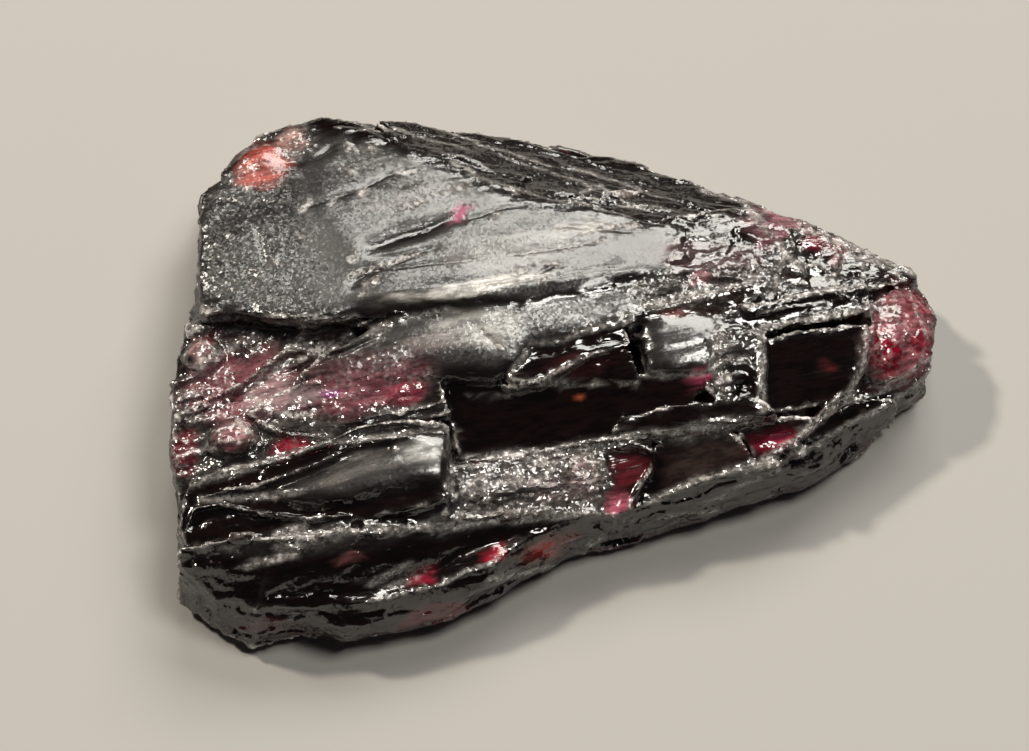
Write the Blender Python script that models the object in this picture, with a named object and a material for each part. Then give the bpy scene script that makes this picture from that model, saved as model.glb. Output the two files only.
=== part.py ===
"""Rough painite: one broken crystal, lying on its flat side, 76 mm long.

The stone is a stack of cleavage ledges that run along its length. Each ledge is drawn as it is
seen from in front and above: across and down a sheet, in millimetres from the sheet's top left
corner, with a height above the table. The ledges, ridges and nodules are joined in one solid,
the pits are cut from it, and the result is set with its lowest face on z = 0.
"""

import math
import random

import bmesh
import bpy
from mathutils import Matrix, Vector
from mathutils.geometry import delaunay_2d_cdt

# How the stone is seen on the sheet
SHEET_CENTRE = (51.45, 37.55)
SIGHT_DISTANCE = 400.0
SIGHT_TILT = 65.0

# The stone's driving sizes, in millimetres and degrees
GRAIN_ANGLE = 10.0
WAIST_HEIGHT = 4.0
CORE_TOP = 8.5
FOOT_INSET = 2.2
LOWEST_BASE = 1.2
THINNEST_LEDGE = 0.6
MM = 0.001

# How coarse and how uneven the broken faces are
RIM_STEP = 3.0
BASE_SPREAD = 0.4
WALL_JOG = 0.5
FOOT_JOG = (-0.3, 0.5)
CORE_JOG = 0.3

# What is merged once the ledges are joined
SHORTEST_EDGE = 0.15
FLAT_SEAM = 2.0
CHIP_TURN = 70.0
THINNEST = 0.004
HAIR = 0.03
MERGE_ROUNDS = 4


# How the sheet and the stone are tied


def on_stone(across, down, height):
    """The point at this height that is seen at this place on the sheet."""
    tilt = math.radians(SIGHT_TILT)
    eye = SIGHT_DISTANCE * Vector((0.0, -math.cos(tilt), math.sin(tilt)))
    up = Vector((0.0, math.sin(tilt), math.cos(tilt)))
    right = Vector((1.0, 0.0, 0.0))
    spot = (across - SHEET_CENTRE[0]) * right + (SHEET_CENTRE[1] - down) * up
    return eye + (spot - eye) * ((eye.z - height) / (eye.z - spot.z))


def broken_line(points, step, rough, chance):
    """The closed outline with points about a step apart, each nudged as a break would leave it."""
    line = []
    for i, (ax, ay) in enumerate(points):
        bx, by = points[(i + 1) % len(points)]
        length = math.hypot(bx - ax, by - ay)
        parts = max(1, round(length / step))
        for k in range(parts):
            share = k / parts
            nudge = rough * chance.uniform(-1.0, 1.0)
            across = ax + (bx - ax) * share - (by - ay) / length * nudge
            down = ay + (by - ay) * share + (bx - ax) / length * nudge
            line.append((across, down))
    return line


def inside(x, y, outline):
    """True if the point lies in the closed outline."""
    crossings = 0
    for i, (ax, ay) in enumerate(outline):
        bx, by = outline[(i + 1) % len(outline)]
        if (ay > y) != (by > y) and x < ax + (y - ay) / (by - ay) * (bx - ax):
            crossings += 1
    return crossings % 2 == 1


def inner_points(outline, grid, chance):
    """Points about a grid apart inside the outline and clear of it, so that a bowed face can bow."""
    left, top = (min(p[k] for p in outline) for k in (0, 1))
    right, bottom = (max(p[k] for p in outline) for k in (0, 1))
    margin = 0.35 * grid
    found = []
    for row in range(1, int((bottom - top) / grid) + 1):
        for column in range(1, int((right - left) / grid) + 1):
            x = left + (column + 0.3 * chance.uniform(-1.0, 1.0)) * grid
            y = top + (row + 0.3 * chance.uniform(-1.0, 1.0)) * grid
            around = ((x + margin, y), (x - margin, y), (x, y + margin), (x, y - margin))
            if all(inside(*p, outline) for p in around):
                found.append((x, y))
    return found


# The four shapes that the stone is made of


def new_object(name, shape):
    """An object in the scene from a bmesh, which is freed."""
    mesh = bpy.data.meshes.new(name)
    bmesh.ops.recalc_face_normals(shape, faces=shape.faces)
    shape.to_mesh(mesh)
    shape.free()
    made = bpy.data.objects.new(name, mesh)
    bpy.context.scene.collection.objects.link(made)
    return made


def solid(name, corners, faces):
    """A closed object from corner points and faces, with every face in triangles."""
    shape = bmesh.new()
    verts = [shape.verts.new(p) for p in corners]
    for face in faces:
        shape.faces.new([verts[k] for k in face])
    loose = [v for v in verts if not v.link_faces]
    bmesh.ops.delete(shape, geom=loose, context="VERTS")
    bmesh.ops.triangulate(shape, faces=shape.faces)
    return new_object(name, shape)


def block(name, tops, triangles, depth, chance):
    """A closed block under a top face of triangles, with walls that a break has left uneven."""
    base = max(min(p.z for p in tops) - depth, LOWEST_BASE) + chance.uniform(0.0, BASE_SPREAD)
    half_sides = {edge for a, b, c in triangles for edge in ((a, b), (b, c), (c, a))}
    rim_edges = sorted(edge for edge in half_sides if edge[::-1] not in half_sides)
    outward = {a: Vector() for a, _ in rim_edges}
    for a, b in rim_edges:
        along = tops[b] - tops[a]
        out = Vector((along.y, -along.x, 0.0)).normalized()
        outward[a] += out
        outward[b] += out
    waist, foot = [], []
    for i, top in enumerate(tops):
        out = outward.get(i, Vector()).normalized()
        halfway = Vector((top.x, top.y, (top.z + base) / 2))
        waist.append(halfway + out * chance.uniform(-WALL_JOG, WALL_JOG))
        foot.append(Vector((top.x, top.y, base)) + out * chance.uniform(*FOOT_JOG))
    count = len(tops)
    faces = [tuple(t) for t in triangles]
    faces += [(a + 2 * count, c + 2 * count, b + 2 * count) for a, b, c in triangles]
    for a, b in rim_edges:
        faces.append((b, a, a + count, b + count))
        faces.append((b + count, a + count, a + 2 * count, b + 2 * count))
    return solid(name, tops + waist + foot, faces)


def ledge(name, rim, at, level, rise=(0.0, 0.0), bow=(0.0, 0.0), depth=6.0, rough=0.2, grid=4.0):
    """A cleavage ledge: a block whose top is a sloped, slightly bowed face.

    level is the height at the sheet point at. rise is the climb per millimetre of the sheet to
    the right and upwards, and bow how fast the face falls off on both sides of that point.
    """
    chance = random.Random(name)
    outline = broken_line(rim, RIM_STEP, rough, chance)
    spots = [Vector(p) for p in outline + inner_points(outline, grid, chance)]
    edges = [(i, (i + 1) % len(outline)) for i in range(len(outline))]
    spots, _, triangles, *_ = delaunay_2d_cdt(spots, edges, [], 1, 1e-5)
    tops = []
    for spot in spots:
        x, y = spot.x - at[0], at[1] - spot.y
        height = level + rise[0] * x + rise[1] * y - bow[0] * x * x - bow[1] * y * y
        tops.append(on_stone(spot.x, spot.y, max(height, LOWEST_BASE + THINNEST_LEDGE)))
    return block(name, tops, triangles, depth, chance)


def flank(name, lines, depth=6.0, rough=0.25):
    """A steep side: a block whose top is stretched between lines of sheet points with heights.

    The lines run from left to right, the highest first, with the same count of points in each.
    """
    chance = random.Random(name)
    wide = len(lines[0])
    tops = []
    for line in lines:
        for across, down, height in line:
            spot = (across, down + rough * chance.uniform(-1.0, 1.0), height)
            tops.append(on_stone(*spot))
    triangles = []
    for row in range(len(lines) - 1):
        for k in range(row * wide, row * wide + wide - 1):
            if chance.random() < 0.5:
                triangles += [(k, k + wide, k + 1), (k + 1, k + wide, k + wide + 1)]
            else:
                triangles += [(k, k + wide, k + wide + 1), (k, k + wide + 1, k + 1)]
    return block(name, tops, triangles, depth, chance)


def ridge(name, crest, width, drop=1.6, rough=0.18):
    """A sharp ridge along a crest of sheet points with heights, tapered at both ends."""
    chance = random.Random(name)
    points = []
    for (ax, ay, az), (bx, by, bz) in zip(crest, crest[1:]):
        parts = max(1, round(math.hypot(bx - ax, by - ay) / RIM_STEP))
        for k in range(parts):
            share = k / parts
            spot = (ax + (bx - ax) * share, ay + (by - ay) * share, az + (bz - az) * share)
            points.append(on_stone(*spot))
    points.append(on_stone(*crest[-1]))
    last = len(points) - 1
    corners = []
    for i, spot in enumerate(points):
        ahead = points[min(i + 1, last)] - points[max(i - 1, 0)]
        side = Vector((-ahead.y, ahead.x, 0.0)).normalized()
        at_end = i in (0, last)
        wide = width * (0.35 if at_end else 1.0 + 0.3 * chance.uniform(-1.0, 1.0))
        top = Vector((0.0, 0.0, -0.5 if at_end else rough * chance.uniform(-1.0, 0.6)))
        foot = Vector((0.0, 0.0, -drop))
        corners += [
            spot + top + side * wide * 0.25,
            spot + foot + side * wide,
            spot + foot - side * wide,
            spot + top - side * wide * 0.3,
        ]
    faces = [(0, 1, 2, 3), tuple(4 * last + k for k in (3, 2, 1, 0))]
    for i in range(last):
        for k in range(4):
            near, far = 4 * i + k, 4 * i + (k + 1) % 4
            faces.append((near, near + 4, far + 4, far))
    return solid(name, corners, faces)


def lump(name, at, size, turn=GRAIN_ANGLE, rough=0.09, detail=1):
    """A rounded lump, or the cutter of a pit. size is its half length, half width, half height."""
    chance = random.Random(name)
    shape = bmesh.new()
    bmesh.ops.create_icosphere(shape, subdivisions=detail, radius=1.0)
    for v in shape.verts:
        v.co *= 1.0 + rough * chance.uniform(-1.0, 1.0)
    place = Matrix.Translation(on_stone(*at)) @ Matrix.Rotation(math.radians(turn), 4, "Z")
    bmesh.ops.transform(shape, matrix=place @ Matrix.Diagonal((*size, 1.0)), verts=shape.verts)
    return new_object(name, shape)


def splinters(name, line, count, length, width, spread=0.4):
    """Small blades along a line of sheet points with heights, as a splintered edge."""
    chance = random.Random(name)
    made = []
    for i in range(count):
        place = (i + chance.random()) / count * (len(line) - 1)
        k = min(int(place), len(line) - 2)
        across, down, height = (a + (b - a) * (place - k) for a, b in zip(line[k], line[k + 1]))
        spot = on_stone(
            across + spread * chance.uniform(-1.0, 1.0),
            down + spread * chance.uniform(-1.0, 1.0),
            height + chance.uniform(-spread, 0.6 * spread),
        )
        long, wide = length * chance.uniform(0.5, 1.3), width * chance.uniform(0.6, 1.3)
        shape = bmesh.new()
        bmesh.ops.create_cone(
            shape, cap_ends=True, segments=4, radius1=wide, radius2=wide * 0.5, depth=long
        )
        for v in shape.verts:
            v.co *= 1.0 + 0.2 * chance.uniform(-1.0, 1.0)
        lay = Matrix.Rotation(math.radians(90.0 + chance.uniform(-8.0, 8.0)), 4, "Y")
        turn = Matrix.Rotation(math.radians(GRAIN_ANGLE + chance.uniform(-14.0, 14.0)), 4, "Z")
        roll = Matrix.Rotation(chance.uniform(0.0, math.tau), 4, "Z")
        place = Matrix.Translation(spot) @ turn @ lay @ roll
        bmesh.ops.transform(shape, matrix=place, verts=shape.verts)
        made.append(new_object(f"{name}_{i}", shape))
    return made


# The stone's own parts, from the table up


def core():
    """The mass under the ledges: a waist, drawn in to a flat foot below and a shoulder above."""
    waist = [
        (20.6, 20.5), (23.0, 16.8), (26.5, 14.6), (31.0, 13.2), (37.0, 13.4), (44.0, 14.2),
        (51.0, 15.0), (58.0, 16.0), (64.0, 17.4), (69.0, 19.4), (75.0, 21.0), (80.5, 23.2),
        (85.0, 25.2), (90.0, 27.2), (92.0, 29.6), (92.8, 33.0), (92.2, 36.4), (89.8, 39.8),
        (87.2, 43.2), (84.4, 46.2), (80.6, 48.8), (76.0, 49.6), (71.0, 51.4), (66.0, 52.8),
        (60.6, 54.0), (55.0, 56.2), (50.0, 59.4), (45.0, 61.4), (40.0, 62.8), (34.5, 63.8),
        (30.4, 63.0), (25.6, 63.8), (21.4, 61.8), (18.8, 59.0), (17.9, 55.0), (17.6, 50.0),
        (17.4, 45.0), (17.6, 40.0), (18.4, 35.0), (19.6, 31.0), (19.9, 25.5),
    ]
    levels = [(0.0, FOOT_INSET), (1.4, 0.8), (WAIST_HEIGHT, 0.0), (6.2, 0.4), (CORE_TOP, 1.6)]
    chance = random.Random("core")
    ring = [on_stone(*p, WAIST_HEIGHT) for p in broken_line(waist, RIM_STEP, 0.2, chance)]
    count = len(ring)
    corners = []
    for z, inset in levels:
        for i, p in enumerate(ring):
            along = ring[(i + 1) % count] - ring[i - 1]
            inward = Vector((along.y, -along.x, 0.0)).normalized()
            jog = 0.0 if z == 0.0 else CORE_JOG
            spot = p + inward * (inset + jog * chance.uniform(-1.0, 1.0))
            corners.append(Vector((spot.x, spot.y, z + jog * chance.uniform(-1.0, 1.0))))
    faces = []
    for level in range(len(levels) - 1):
        for i in range(count):
            a, b = level * count + i, level * count + (i + 1) % count
            faces.append((a, b, b + count, a + count))
    faces.append(tuple(range(count)))
    faces.append(tuple((len(levels) - 1) * count + i for i in range(count)))
    return [solid("core", corners, faces)]


def silk_side():
    """The broad satin face of the back, its low step, and the dark striated shoulder behind."""
    return [
        ledge(
            "silk_face",
            [
                (20.0, 19.6), (21.8, 17.8), (23.5, 15.3), (25.9, 13.6), (28.8, 12.5), (32.0, 11.4),
                (36.4, 12.2), (40.0, 14.4), (45.0, 16.2), (48.0, 18.2), (50.5, 19.4), (57.0, 20.0),
                (62.0, 21.4), (67.0, 22.6), (72.0, 23.6), (77.0, 24.0), (78.4, 25.4), (77.0, 26.6),
                (72.0, 26.9), (67.0, 27.3), (62.0, 28.0), (57.0, 28.9), (52.0, 29.7), (46.0, 30.3),
                (40.0, 30.4), (35.0, 31.0), (31.0, 31.8), (27.0, 31.6), (23.0, 30.8), (20.0, 31.4),
                (19.6, 28.0), (19.7, 24.0),
            ],
            at=(42.0, 27.0), level=17.8, rise=(-0.01, -0.10), bow=(0.0028, 0.010), depth=9.0,
            rough=0.15, grid=3.4,
        ),
        ledge(
            "silk_step",
            [
                (35.0, 26.4), (40.0, 25.4), (46.0, 24.6), (52.0, 24.4), (58.0, 24.4), (63.0, 24.6),
                (61.0, 26.2), (57.0, 27.6), (52.0, 28.6), (46.0, 29.7), (39.0, 30.0), (36.0, 29.2),
            ],
            at=(44.0, 26.2), level=17.8, rise=(-0.01, -0.16), bow=(0.0028, 0.0), depth=4.0,
            rough=0.15, grid=3.4,
        ),
        ledge(
            "sheen_sheet",
            [
                (33.4, 12.6), (31.4, 16.6), (31.0, 20.2), (33.4, 23.6), (35.2, 26.2), (40.0, 25.0),
                (46.0, 24.4), (54.0, 24.2), (63.0, 24.4), (70.0, 25.0), (66.0, 23.2), (57.0, 20.6),
                (50.0, 19.9), (47.0, 18.4), (44.0, 16.6), (39.6, 14.8), (36.6, 12.9),
            ],
            at=(42.0, 27.0), level=18.1, rise=(-0.017, -0.10), bow=(0.0028, 0.010), depth=3.0,
            rough=0.2, grid=5.0,
        ),
        ridge("silk_scratch_a", [(30.6, 20.7, 16.7), (33.2, 19.8, 16.9), (36.0, 19.0, 16.7)], 0.3),
        ridge("silk_scratch_b", [(36.0, 18.7, 16.6), (38.4, 17.8, 16.6), (40.6, 17.0, 16.3)], 0.3),
        ridge("silk_scratch_c", [(21.6, 24.4, 16.9), (24.4, 23.5, 17.1), (28.0, 23.1, 17.2)], 0.35),
        ridge("silk_scratch_d", [(38.0, 24.2, 18.0), (41.6, 23.1, 17.9), (45.4, 21.7, 17.6)], 0.35),
        ledge(
            "shoulder_upper",
            [
                (37.4, 12.4), (42.0, 13.4), (48.0, 14.4), (54.0, 15.6), (60.0, 17.0), (66.0, 18.8),
                (71.0, 20.4), (76.0, 22.4), (77.0, 24.2), (70.0, 23.4), (63.0, 22.0), (56.0, 20.6),
                (50.0, 19.8), (46.0, 17.4), (41.0, 15.2),
            ],
            at=(56.0, 20.0), level=15.2, rise=(-0.36, -1.0), depth=6.0, rough=0.3,
        ),
        ledge(
            "shoulder_lower",
            [
                (38.0, 11.9), (43.0, 12.7), (49.0, 13.7), (55.0, 14.8), (61.0, 15.9), (66.0, 17.2),
                (71.0, 19.2), (76.0, 20.6), (80.0, 22.2), (80.0, 24.0), (74.0, 22.6), (66.0, 20.2),
                (58.0, 18.2), (50.0, 16.6), (43.0, 15.2),
            ],
            at=(56.0, 16.8), level=11.6, rise=(-0.3, -0.85), depth=6.0, rough=0.3,
        ),
        ridge(
            "shoulder_streak_a",
            [(38.0, 13.2, 13.9), (44.0, 14.8, 13.6), (50.0, 15.8, 13.0), (54.0, 16.8, 12.8)],
            0.5,
        ),
        ridge(
            "shoulder_streak_b",
            [(41.0, 14.9, 15.6), (46.0, 15.6, 15.2), (50.0, 17.4, 15.0), (58.0, 18.9, 13.6)],
            0.55,
        ),
        ridge(
            "shoulder_streak_c",
            [(52.0, 18.6, 15.2), (58.0, 19.6, 14.6), (64.0, 20.4, 13.4), (70.0, 21.6, 12.2)],
            0.5,
        ),
        lump("rose_knob", (26.4, 16.6, 14.6), (2.5, 2.0, 1.5), turn=20.0, detail=2),
        lump("rose_crumb", (29.4, 14.2, 14.2), (1.2, 1.2, 1.2)),
    ]


def hidden_back():
    """The broken blocks that slope down behind, out of sight from the front."""
    return [
        ledge(
            "back_block_a",
            [
                (21.0, 20.5), (22.5, 17.0), (25.5, 14.6), (29.0, 13.4), (33.5, 13.0), (34.5, 16.5),
                (30.0, 19.0), (25.0, 21.5),
            ],
            at=(28.0, 16.0), level=11.2, rise=(0.15, -0.8), rough=0.4,
        ),
        ledge(
            "back_block_b",
            [
                (33.0, 13.4), (37.0, 12.9), (42.0, 13.3), (47.0, 14.1), (47.5, 17.0), (42.0, 18.0),
                (36.0, 18.0), (32.5, 17.0),
            ],
            at=(40.0, 15.5), level=9.6, rise=(-0.05, -0.9), rough=0.4,
        ),
        ledge(
            "back_block_c",
            [
                (46.5, 14.3), (52.0, 15.1), (58.5, 16.1), (62.0, 17.5), (60.0, 20.0), (54.0, 19.6),
                (48.0, 18.4), (45.5, 16.6),
            ],
            at=(54.0, 17.5), level=8.8, rise=(-0.1, -0.6), rough=0.4,
        ),
        ledge(
            "back_block_d",
            [
                (61.0, 17.5), (66.0, 18.7), (71.0, 20.3), (76.0, 21.9), (79.0, 23.7), (75.0, 25.0),
                (68.0, 23.6), (62.0, 21.5),
            ],
            at=(70.0, 21.5), level=8.6, rise=(-0.15, -0.5), rough=0.4,
        ),
    ]


def far_corner():
    """The stepped, splintery blocks at the back on the right."""
    return [
        ledge(
            "far_field",
            [
                (64.0, 23.4), (68.0, 21.8), (72.0, 20.9), (76.0, 21.4), (78.5, 22.6), (79.8, 24.5),
                (79.2, 26.4), (75.0, 26.8), (70.0, 27.0), (65.0, 27.6), (62.0, 27.8), (61.5, 25.5),
            ],
            at=(70.0, 25.0), level=15.1, rise=(-0.10, -0.22),
        ),
        ledge(
            "rough_field",
            [
                (57.0, 30.4), (60.0, 29.4), (64.0, 28.3), (68.0, 27.3), (72.0, 26.8), (79.0, 26.2),
                (82.0, 26.4), (84.0, 27.6), (87.0, 28.6), (83.0, 29.4), (78.0, 30.2), (74.0, 31.0),
                (68.0, 31.4), (64.0, 32.0), (60.0, 32.6), (57.0, 33.4), (55.0, 33.2),
            ],
            at=(68.0, 29.0), level=15.3, rise=(-0.10, 0.08),
        ),
        ledge(
            "dark_lens",
            [
                (66.8, 30.9), (69.5, 29.6), (72.5, 28.7), (76.1, 28.2), (76.4, 29.4), (74.2, 30.8),
                (71.0, 31.7), (68.0, 31.8),
            ],
            at=(71.5, 30.0), level=15.3, rise=(-0.04, 0.42), rough=0.1,
        ),
        ledge(
            "corner_block",
            [
                (78.4, 22.6), (80.5, 22.6), (83.0, 23.6), (84.0, 25.0), (83.6, 27.0), (82.5, 28.6),
                (80.0, 29.6), (78.0, 29.8), (76.8, 28.2), (78.3, 26.0),
            ],
            at=(80.5, 26.0), level=13.3, rise=(-0.15, -0.15), rough=0.3,
        ),
        ledge(
            "far_toe",
            [
                (83.4, 24.6), (86.0, 25.0), (88.5, 25.8), (91.2, 26.6), (92.0, 27.8), (90.0, 28.4),
                (87.0, 28.8), (84.0, 29.2), (82.6, 28.4), (83.6, 26.6),
            ],
            at=(87.0, 27.0), level=10.4, rise=(-0.2, -0.25), rough=0.3,
        ),
        ledge(
            "long_strip",
            [
                (64.5, 31.8), (68.0, 31.6), (73.0, 31.2), (78.0, 30.3), (83.0, 29.6), (87.0, 29.2),
                (87.3, 31.0), (84.0, 31.7), (80.0, 32.3), (76.5, 33.0), (71.0, 32.9), (66.0, 32.9),
                (64.0, 33.2),
            ],
            at=(76.0, 31.5), level=14.5, rise=(-0.08, 0.15), rough=0.15,
        ),
        ledge(
            "upper_strip",
            [(74.0, 30.6), (80.0, 29.4), (87.0, 28.5), (87.2, 29.6), (80.0, 30.7), (75.0, 31.5)],
            at=(80.0, 30.0), level=14.7, rise=(-0.12, 0.1), rough=0.1, depth=3.0,
        ),
        ridge(
            "vein_edge",
            [(71.0, 20.8, 14.4), (75.0, 21.0, 13.6), (78.6, 23.4, 13.8), (79.0, 26.2, 14.0)],
            0.45,
        ),
        ridge("strip_crest", [(70.0, 31.6, 14.9), (76.0, 31.0, 14.8), (84.0, 29.7, 13.9)], 0.3),
    ]


def second_face():
    """The rounded face in front of the silk face, one low step down."""
    return [
        ledge(
            "second_face",
            [
                (33.0, 34.6), (37.0, 32.8), (41.0, 31.2), (46.0, 30.4), (52.0, 29.9), (58.0, 29.0),
                (62.0, 28.4), (66.0, 28.0), (69.0, 28.8), (67.0, 30.6), (63.0, 32.2), (60.0, 33.0),
                (55.0, 33.8), (52.5, 34.8), (51.0, 36.6), (49.5, 37.7), (46.0, 37.4), (42.0, 37.2),
                (38.0, 38.3), (34.0, 39.3), (30.6, 38.8), (30.0, 37.4),
            ],
            at=(48.0, 32.5), level=16.6, rise=(-0.03, 0.10), bow=(0.002, 0.035), rough=0.12,
            grid=3.0,
        ),
        ridge(
            "second_edge",
            [(33.0, 33.4, 16.0), (38.0, 31.6, 16.8), (45.0, 31.0, 17.0), (52.0, 30.6, 17.1)],
            0.45,
        ),
        ledge(
            "fold_strip",
            [
                (51.0, 30.9), (57.0, 29.9), (63.0, 28.7), (67.0, 28.2), (66.0, 29.4), (61.0, 30.6),
                (56.0, 31.5), (52.0, 31.8),
            ],
            at=(58.0, 30.0), level=16.5, rise=(-0.06, 0.1), rough=0.12, depth=3.0,
        ),
    ]


def middle_blocks():
    """The blocky steps of the middle and the black glassy hollow in front of them."""
    return [
        ledge(
            "dark_hollow",
            [
                (44.6, 38.8), (47.0, 38.0), (51.0, 38.6), (55.0, 39.0), (60.0, 39.6), (64.0, 39.9),
                (70.0, 40.2), (76.0, 40.6), (77.5, 41.6), (74.0, 42.6), (70.0, 42.3), (66.0, 43.1),
                (62.0, 43.6), (58.0, 44.2), (54.0, 44.9), (50.0, 45.6), (46.0, 45.8), (45.2, 43.4),
            ],
            at=(56.0, 42.0), level=11.8, rise=(0.0, 0.42), rough=0.12,
        ),
        ledge(
            "hollow_step",
            [
                (61.0, 43.2), (62.2, 41.6), (64.5, 41.0), (66.0, 40.5), (70.0, 40.2), (76.3, 40.0),
                (77.6, 41.3), (74.0, 42.0), (70.0, 42.1), (66.0, 42.9), (63.0, 43.3),
            ],
            at=(68.0, 41.5), level=12.7, rise=(0.0, 0.36), rough=0.12, depth=3.0,
        ),
        ledge(
            "oval_top",
            [
                (50.2, 37.0), (51.5, 35.0), (55.0, 34.3), (59.0, 33.4), (62.8, 32.8), (63.2, 34.6),
                (59.5, 35.4), (57.0, 36.8), (54.0, 38.2), (51.5, 38.4),
            ],
            at=(56.0, 35.5), level=15.1, rise=(0.0, 0.08),
        ),
        ledge(
            "oval_front",
            [
                (54.0, 38.4), (57.0, 36.9), (60.0, 35.5), (63.2, 34.9), (64.0, 37.3), (62.0, 39.0),
                (59.0, 39.8), (56.5, 39.9), (53.5, 39.6),
            ],
            at=(59.0, 37.5), level=13.8, rise=(0.02, 0.45), rough=0.12,
        ),
        ledge(
            "square_block",
            [
                (63.8, 32.9), (66.0, 32.5), (69.0, 32.0), (71.6, 32.4), (71.3, 34.5), (70.8, 36.8),
                (67.0, 36.9), (64.6, 37.0),
            ],
            at=(67.5, 34.5), level=15.2, rise=(-0.03, 0.02), rough=0.1,
        ),
        ledge(
            "dark_step",
            [
                (60.5, 39.8), (62.0, 38.6), (64.0, 37.4), (66.0, 37.0), (70.6, 37.0), (71.0, 38.6),
                (69.0, 40.1), (66.0, 40.3), (62.0, 40.3),
            ],
            at=(66.0, 38.5), level=13.3, rise=(0.0, 0.42), rough=0.12,
        ),
        ledge(
            "crumb_block",
            [
                (71.2, 33.5), (73.5, 32.8), (76.1, 33.2), (76.2, 36.0), (76.0, 39.8), (73.5, 40.0),
                (71.6, 40.0), (70.8, 38.8), (71.2, 36.0),
            ],
            at=(73.5, 36.5), level=14.0, rise=(-0.05, 0.22), rough=0.4,
        ),
        ledge(
            "black_face",
            [
                (76.5, 34.0), (79.5, 32.9), (83.0, 32.7), (86.7, 32.3), (87.1, 34.0), (86.2, 36.2),
                (84.6, 38.4), (82.6, 40.2), (80.0, 41.0), (77.5, 41.2), (76.4, 40.0),
            ],
            at=(80.0, 34.0), level=13.6, rise=(-0.08, 0.40), rough=0.1, grid=9.0,
        ),
        ridge("black_face_side", [(76.4, 32.8, 14.7), (76.6, 36.0, 13.7), (76.4, 40.0, 12.2)], 0.3),
        ridge(
            "black_face_rim",
            [
                (87.0, 29.8, 13.0), (87.3, 32.0, 12.7), (87.2, 34.2, 12.2), (86.3, 36.4, 11.8),
                (84.6, 38.8, 11.4), (82.4, 40.9, 11.0), (80.4, 43.3, 10.6),
            ],
            0.42,
        ),
        ridge(
            "hollow_rim",
            [
                (45.6, 45.9, 11.4), (50.0, 45.7, 11.4), (54.0, 45.0, 11.6), (58.0, 44.3, 11.8),
                (62.0, 43.7, 11.9), (66.0, 43.2, 11.9), (70.0, 42.4, 12.1), (73.4, 42.6, 11.9),
            ],
            0.36,
        ),
        ridge("oval_rim", [(50.0, 38.2, 14.6), (51.8, 38.7, 14.4), (54.4, 38.3, 14.2)], 0.3),
    ]


def tip():
    """The rounded red tip with its veins, and the lenses that run up to it."""
    return [
        ledge(
            "red_tip",
            [
                (87.3, 30.2), (89.5, 28.9), (91.3, 28.7), (92.7, 29.9), (93.4, 32.0), (93.5, 34.4),
                (92.9, 36.6), (91.4, 38.6), (89.6, 39.7), (87.6, 40.0), (85.2, 39.6), (86.4, 37.0),
                (87.3, 34.0),
            ],
            at=(89.0, 33.0), level=11.9, rise=(-0.2, 0.0), bow=(0.09, 0.09), rough=0.15,
            grid=2.2,
        ),
        ridge("tip_vein", [(86.6, 38.6, 9.6), (89.5, 37.6, 10.2), (93.0, 36.2, 9.1)], 0.3),
        ridge("tip_foot_vein", [(84.6, 39.8, 10.6), (87.6, 39.9, 8.9), (90.0, 39.5, 7.9)], 0.3),
        ledge(
            "end_lens",
            [
                (80.4, 43.9), (82.6, 41.6), (85.2, 40.2), (88.2, 39.8), (90.0, 40.0), (87.2, 41.4),
                (84.6, 42.6), (82.2, 43.9),
            ],
            at=(85.0, 41.8), level=8.9, rise=(-0.32, 0.35), rough=0.1,
        ),
        ledge(
            "red_pocket",
            [
                (73.8, 43.4), (76.2, 42.2), (78.5, 41.8), (81.8, 41.6), (80.6, 43.4), (78.6, 44.8),
                (77.0, 46.2), (75.4, 46.4), (75.1, 45.2),
            ],
            at=(77.5, 44.0), level=10.0, rise=(-0.03, 0.5), rough=0.15,
        ),
        lump("knot", (79.6, 45.0, 9.0), (1.4, 1.0, 0.9)),
        ledge(
            "slate_facet",
            [
                (65.6, 44.6), (68.5, 43.4), (72.4, 42.8), (74.2, 43.8), (75.2, 45.6), (75.4, 46.6),
                (72.0, 47.6), (68.0, 48.8), (64.6, 50.0), (63.6, 50.2), (65.2, 47.4),
            ],
            at=(69.5, 46.0), level=10.0, rise=(0.02, 0.45), rough=0.1,
        ),
        ridge(
            "slate_edge",
            [(64.6, 50.0, 8.4), (68.0, 48.9, 8.9), (72.0, 47.7, 9.3), (77.5, 46.1, 9.3)],
            0.28,
        ),
    ]


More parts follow.
